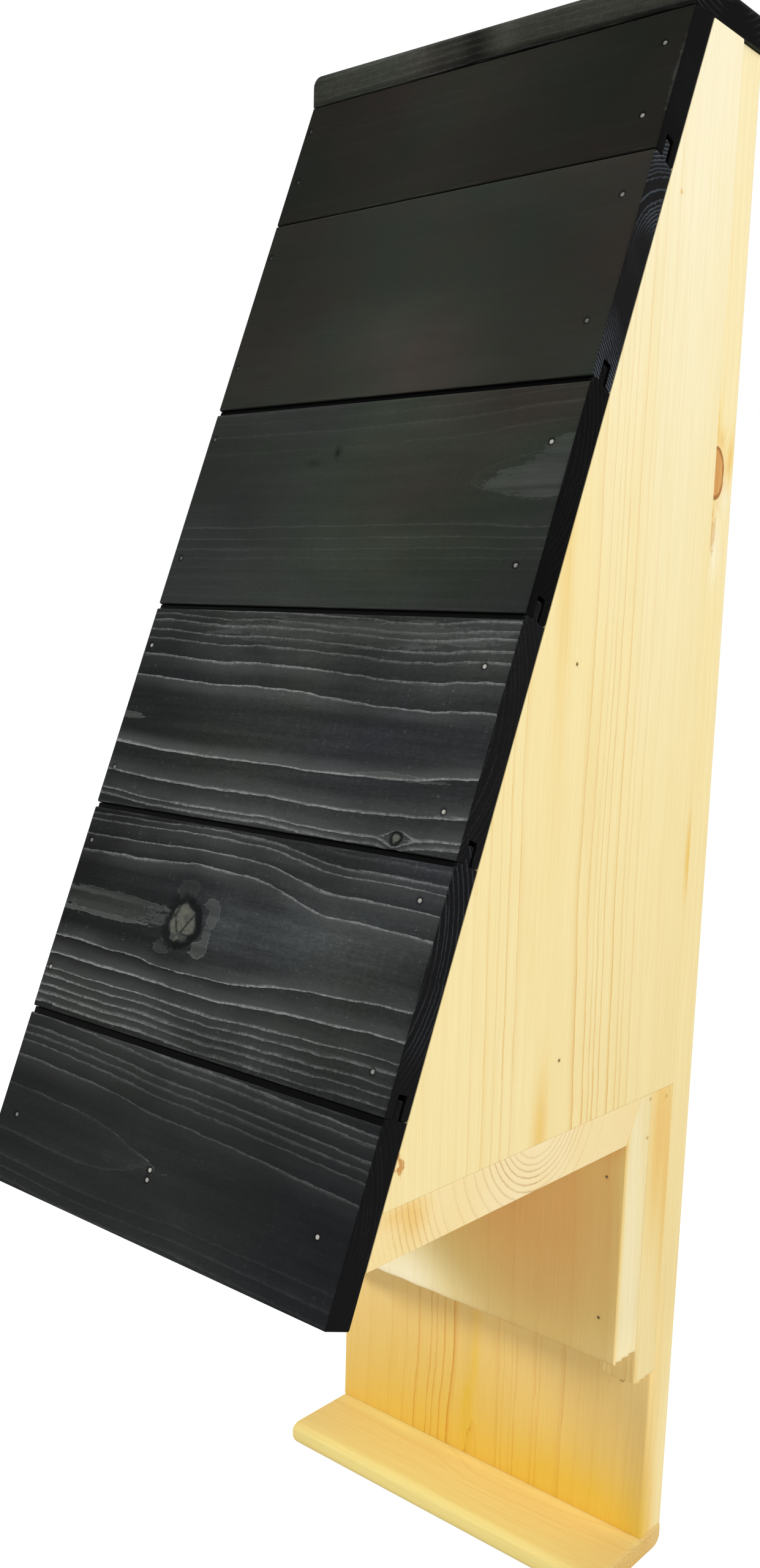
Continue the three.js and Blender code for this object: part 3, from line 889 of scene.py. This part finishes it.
BACK_GRAIN = Grain(
    # shade and lights are painted light and shade on the front face: a lift where the entrance panel's shadow
    # falls, and the face set lighter or darker against the edge. The first two tones, golden towards the
    # ledge, are partly the wood's own colour and partly painted bounce light.
    seed=8, faint=0.1, ring=2.4, waver=0.4, shade=((-290, 1.09), (-225, 1.04), (-190, 1.0)),
    lights=(((-330, 0, 0), (60, 300, 4), -0.11), ((-285, 0, 0), (20, 300, 4), -0.04),
            ((-218, 0, 0), (22, 300, 3), 0.14), ((-240, 2, 0), (12, 22, 3), 0.07),
            ((-285, 77, 0), (35, 8, 3), 0.06), ((-262, -10, 0), (60, 3, 3), -0.05)),
    lines_up=((15, 0.35), (18, 0.25), (23, 0.2), (25.5, 0.35), (37, 0.35), (39, 0.25), (53.5, 0.6),
              (62, 0.15), (72, 0.12), (84, 0.15), (90, 0.15)),
    lines_down=((14, 0.75), (20, 0.5), (25, 0.35), (28.5, 0.4), (37, 0.5), (45, 0.2), (55, 0.12),
                (70, 0.12), (80, 0.12)),
    centre=((-315, -7), (-250, -6), (0, -4), (315, -8)),
    pith=((-315, 49.4), (-262, 50), (-100, 50.4), (100, 49.8), (315, 50.5)),
    tones=(((0, -18, -330), (300, 9, 60), 0.95), ((0, -18, -250), (160, 9, 70), 0.45),
           ((-6, -18, -226), (2.6, 6, 18), 0.4), ((-6, -18, -262), (2.4, 6, 16), 0.35),
           ((-10, -18, -290), (3.0, 6, 18), 0.4), ((95, -9, -200), (2, 14, 110), 0.35),
           ((95, -9, 300), (20, 30, 170), -0.2),
           ((95, -17.5, 136), (6, 2.4, 10), 1.3), ((95, -17.5, 178), (6, 2.6, 9), 1.4),
           ((95, -12, 172), (6, 3, 4), 0.5), ((95, -4, 165), (6, 2.6, 9), 0.8),
           ((95, -7, 150), (6, 4, 7), -0.5), ((95, -12, 128), (6, 5, 12), -0.4),
           ((95, -9, -280), (2, 14, 60), -0.3), ((60, -18, -312), (40, 9, 25), 0.35)),
    spots=(((135, 95, 3.0), (9, 6, 3.0), 0.42),),
    knots=(((158.5, 95, 3.0), (10.2, 9, 6.6), 0.0),))


def build_back(colours, sizes):
    """The back board, which stands on the landing ledge."""
    low, high = BACK_LOW, BACK_HIGH
    foot = LEDGE_HIGH[2] + TOUCH
    section = [Corner(high[1], foot, 0.4, 4.0), Corner(high[1], high[2], 0.4, 1.5),
               Corner(low[1], high[2], 0.4, 4.0), Corner(low[1], foot, TOUCH, 1.5)]
    build_board("back_board", "back_wood", section, (low[0], high[0]), BACK_GRAIN, standing(low[1]), ALONG_Z,
                spruce_paint("back_board", ALONG_Z, colours, 2), sizes, (1.2, 2.0, 1.0),
                squeeze=((low[1] / 2, 0), (1.5, 0.3)))


SIDE_GRAIN = Grain(
    seed=9, faint=0.05, waver=0.3, shade=((0, 0.985),),
    fade=((-95, 1.6), (40, 1.3), (180, 0.6), (315, 0.35)),
    lines_up=((20, 0.3), (26, 0.4), (31, 0.15), (37, 0.2), (45, 0.15), (52, 0.1), (60, 0.1), (70, 0.1)),
    lines_down=((20, 0.45), (27, 0.4), (31, 0.2), (34, 0.35), (38, 0.3), (45, 0.4), (51, 0.28),
                (54, 0.15), (60, 0.25), (68, 0.12), (80, 0.08)),
    centre=((-95, 117), (0, 119), (100, 118), (315, 116)),
    pith=((-110, 49.6), (-65, 49.9), (0, 50.4), (57, 49.9), (120, 49.7), (315, 49.8)),
    spots=(mark(-77, 199.5, 3.6, 1.4, 0.85, 3), mark(-81.5, 198, 2.6, 2.0, 0.85, 3)),
    # The first tone, paler towards the top, is partly the wood's own colour and partly painted light.
    tones=(((95, -60, 340), (40, 90, 190), -0.6), ((95, -118, 130), (30, 5, 75), 0.4),
           ((95, -60, -20), WHOLE, 0.06),
           ((95, -118.5, -92), (30, 4.6, 22), 0.6), ((95, -95, 40), (30, 7, 60), 0.15),
           ((95, -19, 4), (30, 2.4, 16), 0.9)))


def build_sides(colours, sizes):
    """Both side panels, each with its slanted front edge. The left one mirrors the right one."""
    low, high = SIDE_LOW, SIDE_HIGH
    section = [Corner(high[1], low[2], TOUCH, 3.0), Corner(high[1], high[2], 0.5, 1.5),
               Corner(SIDE_TOP_FRONT, high[2], 0.5, 3.0), Corner(low[1], low[2], TOUCH, 1.5)]
    for side, word in ((1, "right"), (-1, "left")):
        build_board(f"side_panel_{word}", "side_wood", section, sorted((side * low[0], side * high[0])),
                    SIDE_GRAIN, lambda p: (p[:, 2], -p[:, 1], high[0] - side * p[:, 0]), ALONG_Z,
                    spruce_paint(f"side_panel_{word}", ALONG_Z, colours, 5 + side), sizes,
                    (1.1, 2.4, 1.8))


FLOOR_GRAIN = Grain(
    seed=12, faint=0.1, waver=0.3,
    lines_up=((12, 0.3), (15.5, 0.4), (18.5, 0.5), (21.5, 0.6), (24.5, 0.65), (27.5, 0.6), (31, 0.5),
              (35, 0.3), (40, 0.2), (46, 0.2), (52, 0.15), (60, 0.15), (64, 0.25), (67, 0.3), (70, 0.35),
              (73, 0.35), (76, 0.4), (79, 0.35), (82, 0.35), (85, 0.3)),
    lines_down=((12, 0.3), (15.5, 0.4), (18.5, 0.45), (21.5, 0.45), (24.5, 0.4), (27.5, 0.3),
                (31, 0.25), (37, 0.15), (46, 0.1)),
    centre=((0, 118),), pith=((0, 12),), face_pith=12.0,
    tones=(((95, -190, -102), (60, 8, 8), 0.5), ((0, -120, -105), (300, 60, 40), -0.3),
           ((95, -200, -98), (60, 9, 4), 0.35)))

PANEL_GRAIN = Grain(
    # shade darkens the upper front, under the floor, as painted shade. The third and fourth tones and the
    # lights paint paler, lighter places where more light falls: the low front at the left and the edge.
    seed=13, faint=0.08, ring=2.8, waver=0.5, torn=1.0, shade=((-212, 1.0), (-190, 0.93)),
    lines_up=((16, 0.1), (30, 0.12), (44, 0.1), (62, 0.1), (80, 0.1)),
    lines_down=((16, 0.1), (27, 0.1), (44, 0.12), (60, 0.1), (80, 0.1)),
    centre=((-215, 12), (-95, 8)), pith=((-215, 49.8), (-95, 50.2)),
    tones=(((45, PANEL_LOW[1], -150), (95, 2, 90), 0.98),
           ((88, PANEL_LOW[1], -110), (12, 2, 9), 0.5),
           ((-25, PANEL_LOW[1], -212), (40, 2, 26), -0.9), ((95, -46, -160), (4, 9, 90), -0.3)),
    lights=(((-160, 95, 8), (80, 3, 12), 0.06), ((-205, -40, 0), (35, 50, 3), 0.03)))


def build_floor_and_panel(colours, sizes):
    """The floor board with its slanted rear edge, and the entrance panel whose bevel meets it."""
    top = SIDE_LOW[2] - TOUCH
    low, high = FLOOR_LOW, FLOOR_HIGH
    rear_foot = PANEL_LOW[1] - TOUCH
    section = [Corner(rear_foot, low[2], TOUCH, 1.5), Corner(rear_foot + FLOOR_BEVEL, top, TOUCH, 2.0),
               Corner(side_front(top), top, TOUCH, 1.5), Corner(side_front(low[2]), low[2], 0.4, 2.0)]
    build_board("floor_board", "floor_wood", section, (low[0], high[0]), FLOOR_GRAIN, lying(high[2]),
                ALONG_X, spruce_paint("floor_board", ALONG_X, colours, 9), sizes, (0.8, 0.8, 2.5))
    low, high = PANEL_LOW, PANEL_HIGH
    section = [Corner(high[1], low[2], TOUCH, 2.5), Corner(high[1], top, TOUCH, 1.5),
               Corner(low[1] + FLOOR_BEVEL, top, TOUCH, 1.5), Corner(low[1], FLOOR_LOW[2], TOUCH, 2.5),
               Corner(low[1], low[2], 0.5, 0.8)]
    build_board("entrance_panel", "panel_wood", section, (low[0], high[0]), PANEL_GRAIN, standing(low[1]),
                ALONG_Z, spruce_paint("entrance_panel", ALONG_Z, colours, 13, colours.tan), sizes,
                (0.9, 1.6, 1.2))


BATTEN_GRAIN = Grain(
    seed=14, faint=0.15, ring=2.2, waver=0.4, torn=1.0,
    lines_up=((3, 0.4), (6, 0.4), (9, 0.3)), lines_down=((3, 0.4), (6, 0.3), (9, 0.4)),
    centre=((0, 87),), pith=((0, 14),), face_pith=14.0,
    tones=(((90, -28, -115), (30, 9, 50), 0.8), ((95, -20, -150), (10, 3, 60), 0.45),
           ((90, -36.3, -225), (30, 3, 14), 0.5)))


def build_battens(colours, sizes):
    """Both battens, upright between the entrance panel and the back board."""
    low, high = BATTEN_LOW, BATTEN_HIGH
    front, top = PANEL_HIGH[1] + TOUCH, SIDE_LOW[2] - TOUCH
    section = [Corner(high[1], low[2], 0.3, 2.0), Corner(high[1], top, TOUCH, 1.0),
               Corner(front, top, TOUCH, 2.0), Corner(front, low[2], 0.3, 1.0)]
    for side, word in ((1, "right"), (-1, "left")):
        build_board(f"batten_{word}", "batten_wood", section, sorted((side * low[0], side * high[0])),
                    BATTEN_GRAIN, standing(low[1], side), ALONG_Z,
                    spruce_paint(f"batten_{word}", ALONG_Z, colours, 17 + side, colours.tan), sizes,
                    (0.9, 2.0, 0.8))


LEDGE_GRAIN = Grain(
    seed=15, faint=0.06, waver=0.5, shade=((0, 0.975),),
    lights=(((0, -61, 8), (300, 5, 9), 0.12), ((0, -21, 0), (300, 2.5, 5), 0.04),
            ((-95, -50, 0), (25, 20, 9), -0.06), ((-52, -22, 0), (9, 1.8, 3), 0.07),
            ((-8, -22.5, 0), (12, 1.8, 3), 0.07), ((95, -60, 20), (3, 60, 30), -0.05)),
    spots=(((95, -35, 10), (1.5, 60, 30), 0.28),),
    lines_up=((12, 0.12),), lines_down=((10, 0.15), (17, 0.2), (24, 0.22), (27, 0.12), (34, 0.1), (42, 0.08)),
    centre=((0, -12),), pith=((-95, 44), (-60, 43.8), (-25, 43), (10, 40), (95, 43)),
    face_pith=40.0,
    # The third and fourth tones, warmer along the back board, paint part of the golden bounce light there.
    tones=(((-52, -22, -307), (9, 1.8, 4), -0.8), ((-8, -22.5, -307), (12, 1.8, 4), -0.8),
           ((0, -20, -315), (200, 5, 6), 0.3), ((-60, -20, -315), (30, 9, 6), 0.3),
           ((0, -50, -320), (200, 60, 30), 1.0), ((0, -64, -320), (200, 12, 9), 0.5)))


def build_ledge(colours, sizes):
    """The landing ledge, rounded along its front, its lower rear edge and its ends."""
    low, high = LEDGE_LOW, LEDGE_HIGH
    section = [Corner(high[1], high[2], 0.4, 1.2), Corner(low[1], high[2], 4.0, 1.0),
               Corner(low[1], low[2], 5.0, 1.5), Corner(high[1], low[2], 7.5, 1.0)]
    middle = (low[1] + high[1]) / 2, (low[2] + high[2]) / 2
    build_board("landing_ledge", "ledge_wood", section, (low[0], high[0]), LEDGE_GRAIN, lying(high[2], 1),
                ALONG_X, spruce_paint("landing_ledge", ALONG_X, colours, 23, colours.gold), sizes,
                (1.0, 1.0, 1.6), squeeze=(middle, (0.6, 2.0)))


# Nails

NAIL_SPOKES = 16
NAIL_TOP, NAIL_WALL, NAIL_FOOT = 0.3, 0.6, 0.7  # height of the dome, of the wall, depth of the foot
# Where the rings of a nail's mesh lie, as shares of its radius, their heights in millimetres, and
# how far each belongs to the dark rim round the head.
NAIL_RINGS = ((0.3, 0.22, 0), (0.48, 0.12, 0), (0.56, 0.0, 0.4), (0.62, -0.12, 1), (0.78, -0.1, 1),
              (0.93, 0.03, 1), (1.0, -0.12, 1))


def nail_heads(name, places, normals, bare, radius):
    """Nail heads in one mesh: a profile of rings turned round each nail's axis, low dome, groove and
    rim, closed by a flat back. bare is how clear of stain each head is."""
    share, lift, dark = np.array(NAIL_RINGS).T
    spokes, hoops = NAIL_SPOKES, len(share)
    angle = np.linspace(0, 2 * math.pi, spokes, endpoint=False)
    flat = np.stack([np.outer(share, np.cos(angle)), np.outer(share, np.sin(angle))], -1) * radius
    hoop = np.concatenate([flat, np.broadcast_to(lift[:, None, None], (hoops, spokes, 1))], -1)
    hoop = hoop.reshape(-1, 3)
    local = np.concatenate([[[0, 0, NAIL_TOP]], hoop, hoop[-spokes:] - [0, 0, NAIL_WALL],
                            [[0, 0, -NAIL_FOOT]]])
    rim = np.concatenate([[0], np.repeat(dark, spokes), np.ones(spokes + 1)])
    size, last = len(local), 1 + hoops * spokes
    i = np.arange(spokes)
    j = (i + 1) % spokes
    start = 1 + spokes * np.arange(hoops)[:, None]
    quads = np.stack([start + i, start + spokes + i, start + spokes + j, start + j], -1).reshape(-1, 4)
    tris = np.concatenate([np.stack([0 * i, 1 + i, 1 + j], 1),
                           np.stack([0 * i + size - 1, last + j, last + i], 1)])
    up = np.array(normals, float)
    helper = np.where(np.abs(up[:, :1]) > 0.9, [[0.0, 1.0, 0.0]], [[1.0, 0.0, 0.0]])
    first = np.cross(helper, up)
    first /= np.linalg.norm(first, axis=1, keepdims=True)
    basis = np.stack([first, np.cross(up, first), up], 1)
    spread = np.array(places)[:, None] + np.einsum("lk,nkc->nlc", local, basis)
    shift = (np.arange(len(up)) * size)[:, None, None]
    mesh = new_mesh(name, spread.reshape(-1, 3), (quads + shift).reshape(-1, 4),
                    (tris + shift).reshape(-1, 3))
    keep(mesh, rim=np.tile(rim, len(up)), bare=np.repeat(bare, size))
    return mesh


def nail_paint(name, head, rim, cover):
    """Galvanised steel, slightly uneven and more or less covered, in a dark rim of crushed wood."""
    material, tree, shader = start_paint(name)
    patches = cloud(tree, (900, 900, 900), 3, 0.6)
    dark = ease(kept(tree, "rim"), 0.1, 0.7)
    steel = blend(kept(tree, "bare") * ease(patches, 0.35, 0.7, 1.0, 0.7), cover, head)
    wood = blend(ease(patches, 0.3, 0.7, 0.0, 0.3), rim, cover)
    roughness = 0.75 + patches * 0.2 - kept(tree, "bare") * 0.4
    finish_paint(tree, shader, blend(dark, steel, wood), roughness, patches * 0.03, 0.4)
    return material


# Pins in the raw wood: the place in Y and Z, and how clearly the head shows.
SIDE_PINS = ((-109, 82.5, 0.9), (-107.5, -65, 0.9), (-57, 252, 0.1), (-37.5, -97.5, 0.4),
             (-38, -114.5, 0.4), (-24, -99.5, 0.4))
PANEL_PIN_X, PANEL_PIN_HEIGHTS = 86.5, (-129.5, -193)
NAIL_SINK = 0.5         # how deep a head lies in its dip, as a share of the dip


def build_nails(colours, sizes):
    """The nail heads in the front boards, and those in the side panels and the entrance panel."""
    depth = CLADDING_FACE + NAIL_SINK * sizes.hole_depth / MM
    front = [((x, *on_slant(depth, height)), (0, -LEAN[1], LEAN[0]), clear)
             for grain in FRONT_GRAIN for x, height, clear in grain.nails]
    raw = []
    for side in (1, -1):
        raw += [((side * HALF_WIDTH, y, z), (side, 0, 0), clear) for y, z, clear in SIDE_PINS]
        raw += [((side * PANEL_PIN_X, PANEL_LOW[1], z), (0, -1, 0), 1) for z in PANEL_PIN_HEIGHTS]
    for name, heads, radius, paint in (
            ("front_nails", front, sizes.nail_radius,
             nail_paint("nail_steel", colours.nail, colours.stain_end, colours.stain)),
            ("side_nails", raw, sizes.pin_radius,
             nail_paint("pin_steel", colours.pin, colours.pin_rim, colours.honey))):
        add_piece(name, nail_heads(name, *zip(*heads), radius / MM), paint, "nail_steel")


# Stage

CAMERA_PLACE, CAMERA_TURN = (0.37825, -0.53026, 0.09367), (79.3018, -2.0612, 38.7709)
SENSOR, LENS, SHIFT = 36, 66.346, (-0.1024, 0.1429)
NEAREST = 0.01          # what lies closer to the camera isn't seen
# The lamps: name, place, the place they are turned to, diameter and power.
LAMPS = (("key_lamp", (1.9, -0.45, 0.85), (0, -0.1, 0), 1.3, 23.5),
         ("fill_lamp", (-1.2, -1.25, 0.95), (0, -0.1, -0.1), 0.4, 20))
WHITE = (1, 1, 1, 1)
WORLD_STRENGTH = 0.45   # the light that the white world gives
FLOOR_GLOW = 0.85       # what the camera sees of the floor besides the light on it
FLOOR_SHADOW = (0.38, 0.38, 0.38, 1)    # how much it sees of that light and of the shadow in it
FLOOR_REACH, FLOOR_GAP = 6000.0, 0.3


def build_stage(colours, sizes):
    """Camera, soft lamps, a pale floor and a white world."""
    scene = bpy.context.scene
    scene.view_settings.view_transform = "Standard"
    camera = bpy.data.cameras.new("camera")
    camera.sensor_fit, camera.sensor_width, camera.lens = "HORIZONTAL", SENSOR, LENS
    camera.shift_x, camera.shift_y = SHIFT
    camera.clip_start = NEAREST
    holder = bpy.data.objects.new("camera", camera)
    holder.location = CAMERA_PLACE
    holder.rotation_euler = [math.radians(a) for a in CAMERA_TURN]
    scene.collection.objects.link(holder)
    scene.camera = holder

    for name, place, aim, size, power in LAMPS:
        lamp = bpy.data.lights.new(name, "AREA")
        lamp.shape, lamp.size, lamp.energy = "DISK", size, power
        holder = bpy.data.objects.new(name, lamp)
        holder.location = place
        holder.rotation_euler = (Vector(aim) - Vector(place)).to_track_quat("-Z", "Y").to_euler()
        holder.visible_camera = False
        holder.visible_glossy = False
        scene.collection.objects.link(holder)

    world = bpy.data.worlds.new("studio")
    scene.world = world
    world.use_nodes = True
    tree = world.node_tree
    tree.nodes.clear()
    seen = add_node(tree, "ShaderNodeLightPath", {}, {}, "Is Camera Ray")
    glossy = add_node(tree, "ShaderNodeLightPath", {}, {}, "Is Glossy Ray")
    through = add_node(tree, "ShaderNodeLightPath", {}, {}, "Is Transmission Ray")
    direct = seen.maths("MINIMUM", seen + glossy + through, 1.0)
    strength = direct * (1 - WORLD_STRENGTH) + WORLD_STRENGTH
    light = add_node(tree, "ShaderNodeBackground", {}, {"Color": WHITE, "Strength": strength})
    add_node(tree, "ShaderNodeOutputWorld", {}, {"Surface": light})

    reach, level = FLOOR_REACH, LEDGE_LOW[2] - FLOOR_GAP
    corners = np.array([(-reach, -reach, level), (reach, -reach, level), (reach, reach, level),
                        (-reach, reach, level)])
    mesh = new_mesh("floor_stage", corners, np.array([[0, 1, 2, 3]]), np.zeros((0, 3), int))
    material = bpy.data.materials.new("floor_white")
    material.use_nodes = True
    tree = material.node_tree
    tree.nodes.clear()
    matte = add_node(tree, "ShaderNodeBsdfDiffuse", {}, {"Color": (*colours.floor, 1)}, "BSDF")
    dim = add_node(tree, "ShaderNodeBsdfDiffuse", {}, {"Color": FLOOR_SHADOW}, "BSDF")
    glow = add_node(tree, "ShaderNodeEmission", {}, {"Color": WHITE, "Strength": FLOOR_GLOW})
    both = add_node(tree, "ShaderNodeAddShader", {}, {0: dim, 1: glow})
    seen = add_node(tree, "ShaderNodeLightPath", {}, {}, "Is Camera Ray")
    surface = add_node(tree, "ShaderNodeMixShader", {}, {0: seen, 1: matte, 2: both})
    add_node(tree, "ShaderNodeOutputMaterial", {}, {"Surface": surface})
    mesh.materials.append(material)
    floor = bpy.data.objects.new("floor_stage", mesh)
    scene.collection.objects.link(floor)


# Add-on

def colour_property(label, what, default):
    """A colour, given in linear values."""
    return FloatVectorProperty(name=label, description=what, default=default, subtype="COLOR", size=3,
                               min=0.0, max=1.0)


class BatBoxColours(bpy.types.PropertyGroup):
    """The colours of the wood, the stain and the nails."""
    pale: colour_property("Pale spruce", "Lightest planed wood", srgb(252, 247, 222))
    cream: colour_property("Cream spruce", "Planed wood between its ring lines", srgb(248, 230, 172))
    honey: colour_property("Honey spruce", "Warmer planed wood", srgb(242, 208, 130))
    amber: colour_property("Amber spruce", "Wood rich in resin", srgb(242, 202, 80))
    late_tint: colour_property("Late wood", "Tint of the ring lines on raw wood", srgb(230, 186, 108))
    fibre_tint: colour_property("Fibres", "Tint of the fine fibres", srgb(246, 236, 216))
    pore_tint: colour_property("Pores", "Tint of the pores", srgb(230, 206, 168))
    end_tint: colour_property("End grain", "Tint of sawn ends", srgb(252, 238, 222))
    end_ring: colour_property("End rings", "Tint of the ring lines on sawn ends", srgb(206, 176, 150))
    gold: colour_property("Golden spruce", "Yellow wood of the ledge", srgb(240, 222, 143))
    tan: colour_property("Tan spruce", "Warm wood without resin", srgb(237, 172, 98))
    halo_tint: colour_property("Knot halo", "Tint of the wood round a knot", srgb(246, 216, 160))
    knot: colour_property("Knot", "Heart of a knot", srgb(200, 136, 62))
    knot_light: colour_property("Light knot", "Lighter parts of a knot", srgb(220, 160, 84))
    bark: colour_property("Bark", "Rim of a knot, brown marks and nail holes", srgb(146, 86, 34))
    stain: colour_property("Stain", "Black stain", srgb(37, 39, 38))
    stain_green: colour_property("Greenish stain", "Stain with a greenish cast", srgb(36, 40, 34))
    stain_blue: colour_property("Bluish stain", "Stain with a bluish cast", srgb(36, 38, 42))
    stain_red: colour_property("Brownish stain", "Stain with a reddish brown cast", srgb(42, 38, 34))
    end_ridge: colour_property("End ridge", "Ring lines on stained ends", srgb(74, 80, 88))
    stain_end: colour_property("Soaked stain", "Stain on ends, in holes and cracks", srgb(12, 12, 13))
    # Ridge is partly thinly stained raised wood and partly a painted sheen on it.
    ridge: colour_property("Ridge", "Raised ring lines under the stain", srgb(128, 131, 129))
    thin_stain: colour_property("Thin stain", "Places where the stain lies thin", srgb(84, 87, 83))
    bare_knot: colour_property("Bare knot", "Heart of a knot that took little stain", srgb(93, 95, 86))
    nail: colour_property("Nail", "Heads of the nails in the front", srgb(186, 184, 176))
    pin: colour_property("Pin", "Heads of the nails in the raw wood", srgb(92, 62, 28))
    pin_rim: colour_property("Pin rim", "Wood round those nails", srgb(208, 160, 92))
    floor: colour_property("Floor", "The studio floor", (0.72, 0.72, 0.72))


def length_property(label, what, default):
    """A length in metres."""
    return FloatProperty(name=label, description=what, default=default, min=0.0, unit="LENGTH",
                         precision=5)


class BatBoxSizes(bpy.types.PropertyGroup):
    """Small sizes of the boards and nails, in metres."""
    end_arris: length_property("End arris", "How far the sawn ends are rounded", 0.00025)
    ridge_height: length_property("Ridge height", "How far the hardest ring lines stand up", 0.00016)
    hole_radius: length_property("Hole radius", "Dip round the nails in the front", 0.0014)
    hole_depth: length_property("Hole depth", "Depth of that dip", 0.0004)
    nail_radius: length_property("Nail radius", "Nails in the front, with their rim", 0.0015)
    pin_radius: length_property("Pin radius", "Nails in the raw wood, with their rim", 0.0013)


class BatBoxOperator:
    """What the operators share: each runs its build function with the scene's colours and sizes."""
    bl_options = {"REGISTER", "UNDO"}

    def execute(self, context):
        type(self).build(context.scene.bat_box_colours, context.scene.bat_box_sizes)
        return {"FINISHED"}


class BATBOX_OT_stage(BatBoxOperator, bpy.types.Operator):
    """Set up the camera, the lamps and the floor"""
    bl_idname = "batbox.stage"
    bl_label = "Stage"
    build = staticmethod(build_stage)


class BATBOX_OT_cladding(BatBoxOperator, bpy.types.Operator):
    """Build the six front boards"""
    bl_idname = "batbox.cladding"
    bl_label = "Front boards"
    build = staticmethod(build_cladding)


class BATBOX_OT_roof(BatBoxOperator, bpy.types.Operator):
    """Build the roof board"""
    bl_idname = "batbox.roof"
    bl_label = "Roof board"
    build = staticmethod(build_roof)


class BATBOX_OT_back(BatBoxOperator, bpy.types.Operator):
    """Build the back board"""
    bl_idname = "batbox.back"
    bl_label = "Back board"
    build = staticmethod(build_back)


class BATBOX_OT_sides(BatBoxOperator, bpy.types.Operator):
    """Build both side panels"""
    bl_idname = "batbox.sides"
    bl_label = "Side panels"
    build = staticmethod(build_sides)


class BATBOX_OT_entrance(BatBoxOperator, bpy.types.Operator):
    """Build the floor board and the entrance panel"""
    bl_idname = "batbox.entrance"
    bl_label = "Floor and entrance panel"
    build = staticmethod(build_floor_and_panel)


class BATBOX_OT_battens(BatBoxOperator, bpy.types.Operator):
    """Build both battens"""
    bl_idname = "batbox.battens"
    bl_label = "Battens"
    build = staticmethod(build_battens)


class BATBOX_OT_ledge(BatBoxOperator, bpy.types.Operator):
    """Build the landing ledge"""
    bl_idname = "batbox.ledge"
    bl_label = "Landing ledge"
    build = staticmethod(build_ledge)


class BATBOX_OT_nails(BatBoxOperator, bpy.types.Operator):
    """Build the nail heads"""
    bl_idname = "batbox.nails"
    bl_label = "Nails"
    build = staticmethod(build_nails)


OPERATORS = (BATBOX_OT_stage, BATBOX_OT_cladding, BATBOX_OT_roof, BATBOX_OT_back, BATBOX_OT_sides,
             BATBOX_OT_entrance, BATBOX_OT_battens, BATBOX_OT_ledge, BATBOX_OT_nails)


class VIEW3D_PT_bat_box(bpy.types.Panel):
    """The bat box's sizes, colours and build steps"""
    bl_idname = "VIEW3D_PT_bat_box"
    bl_label = "Bat box"
    bl_space_type = "VIEW_3D"
    bl_region_type = "UI"
    bl_category = "Bat box"

    def draw(self, context):
        for group in (context.scene.bat_box_sizes, context.scene.bat_box_colours):
            for label in type(group).__annotations__:
                self.layout.prop(group, label)
        for operator in OPERATORS:
            self.layout.operator(operator.bl_idname)


CLASSES = (BatBoxColours, BatBoxSizes, *OPERATORS, VIEW3D_PT_bat_box)


def register():
    """Makes the classes and the scene's colours and sizes known."""
    for cls in CLASSES:
        bpy.utils.register_class(cls)
    bpy.types.Scene.bat_box_colours = PointerProperty(type=BatBoxColours)
    bpy.types.Scene.bat_box_sizes = PointerProperty(type=BatBoxSizes)


def unregister():
    """Takes them out again."""
    del bpy.types.Scene.bat_box_colours, bpy.types.Scene.bat_box_sizes
    for cls in reversed(CLASSES):
        bpy.utils.unregister_class(cls)


def main():
    """Builds everything."""
    register()
    for operator in OPERATORS:
        group, step = operator.bl_idname.split(".")
        getattr(getattr(bpy.ops, group), step)()


if __name__ == "__main__":
    main()
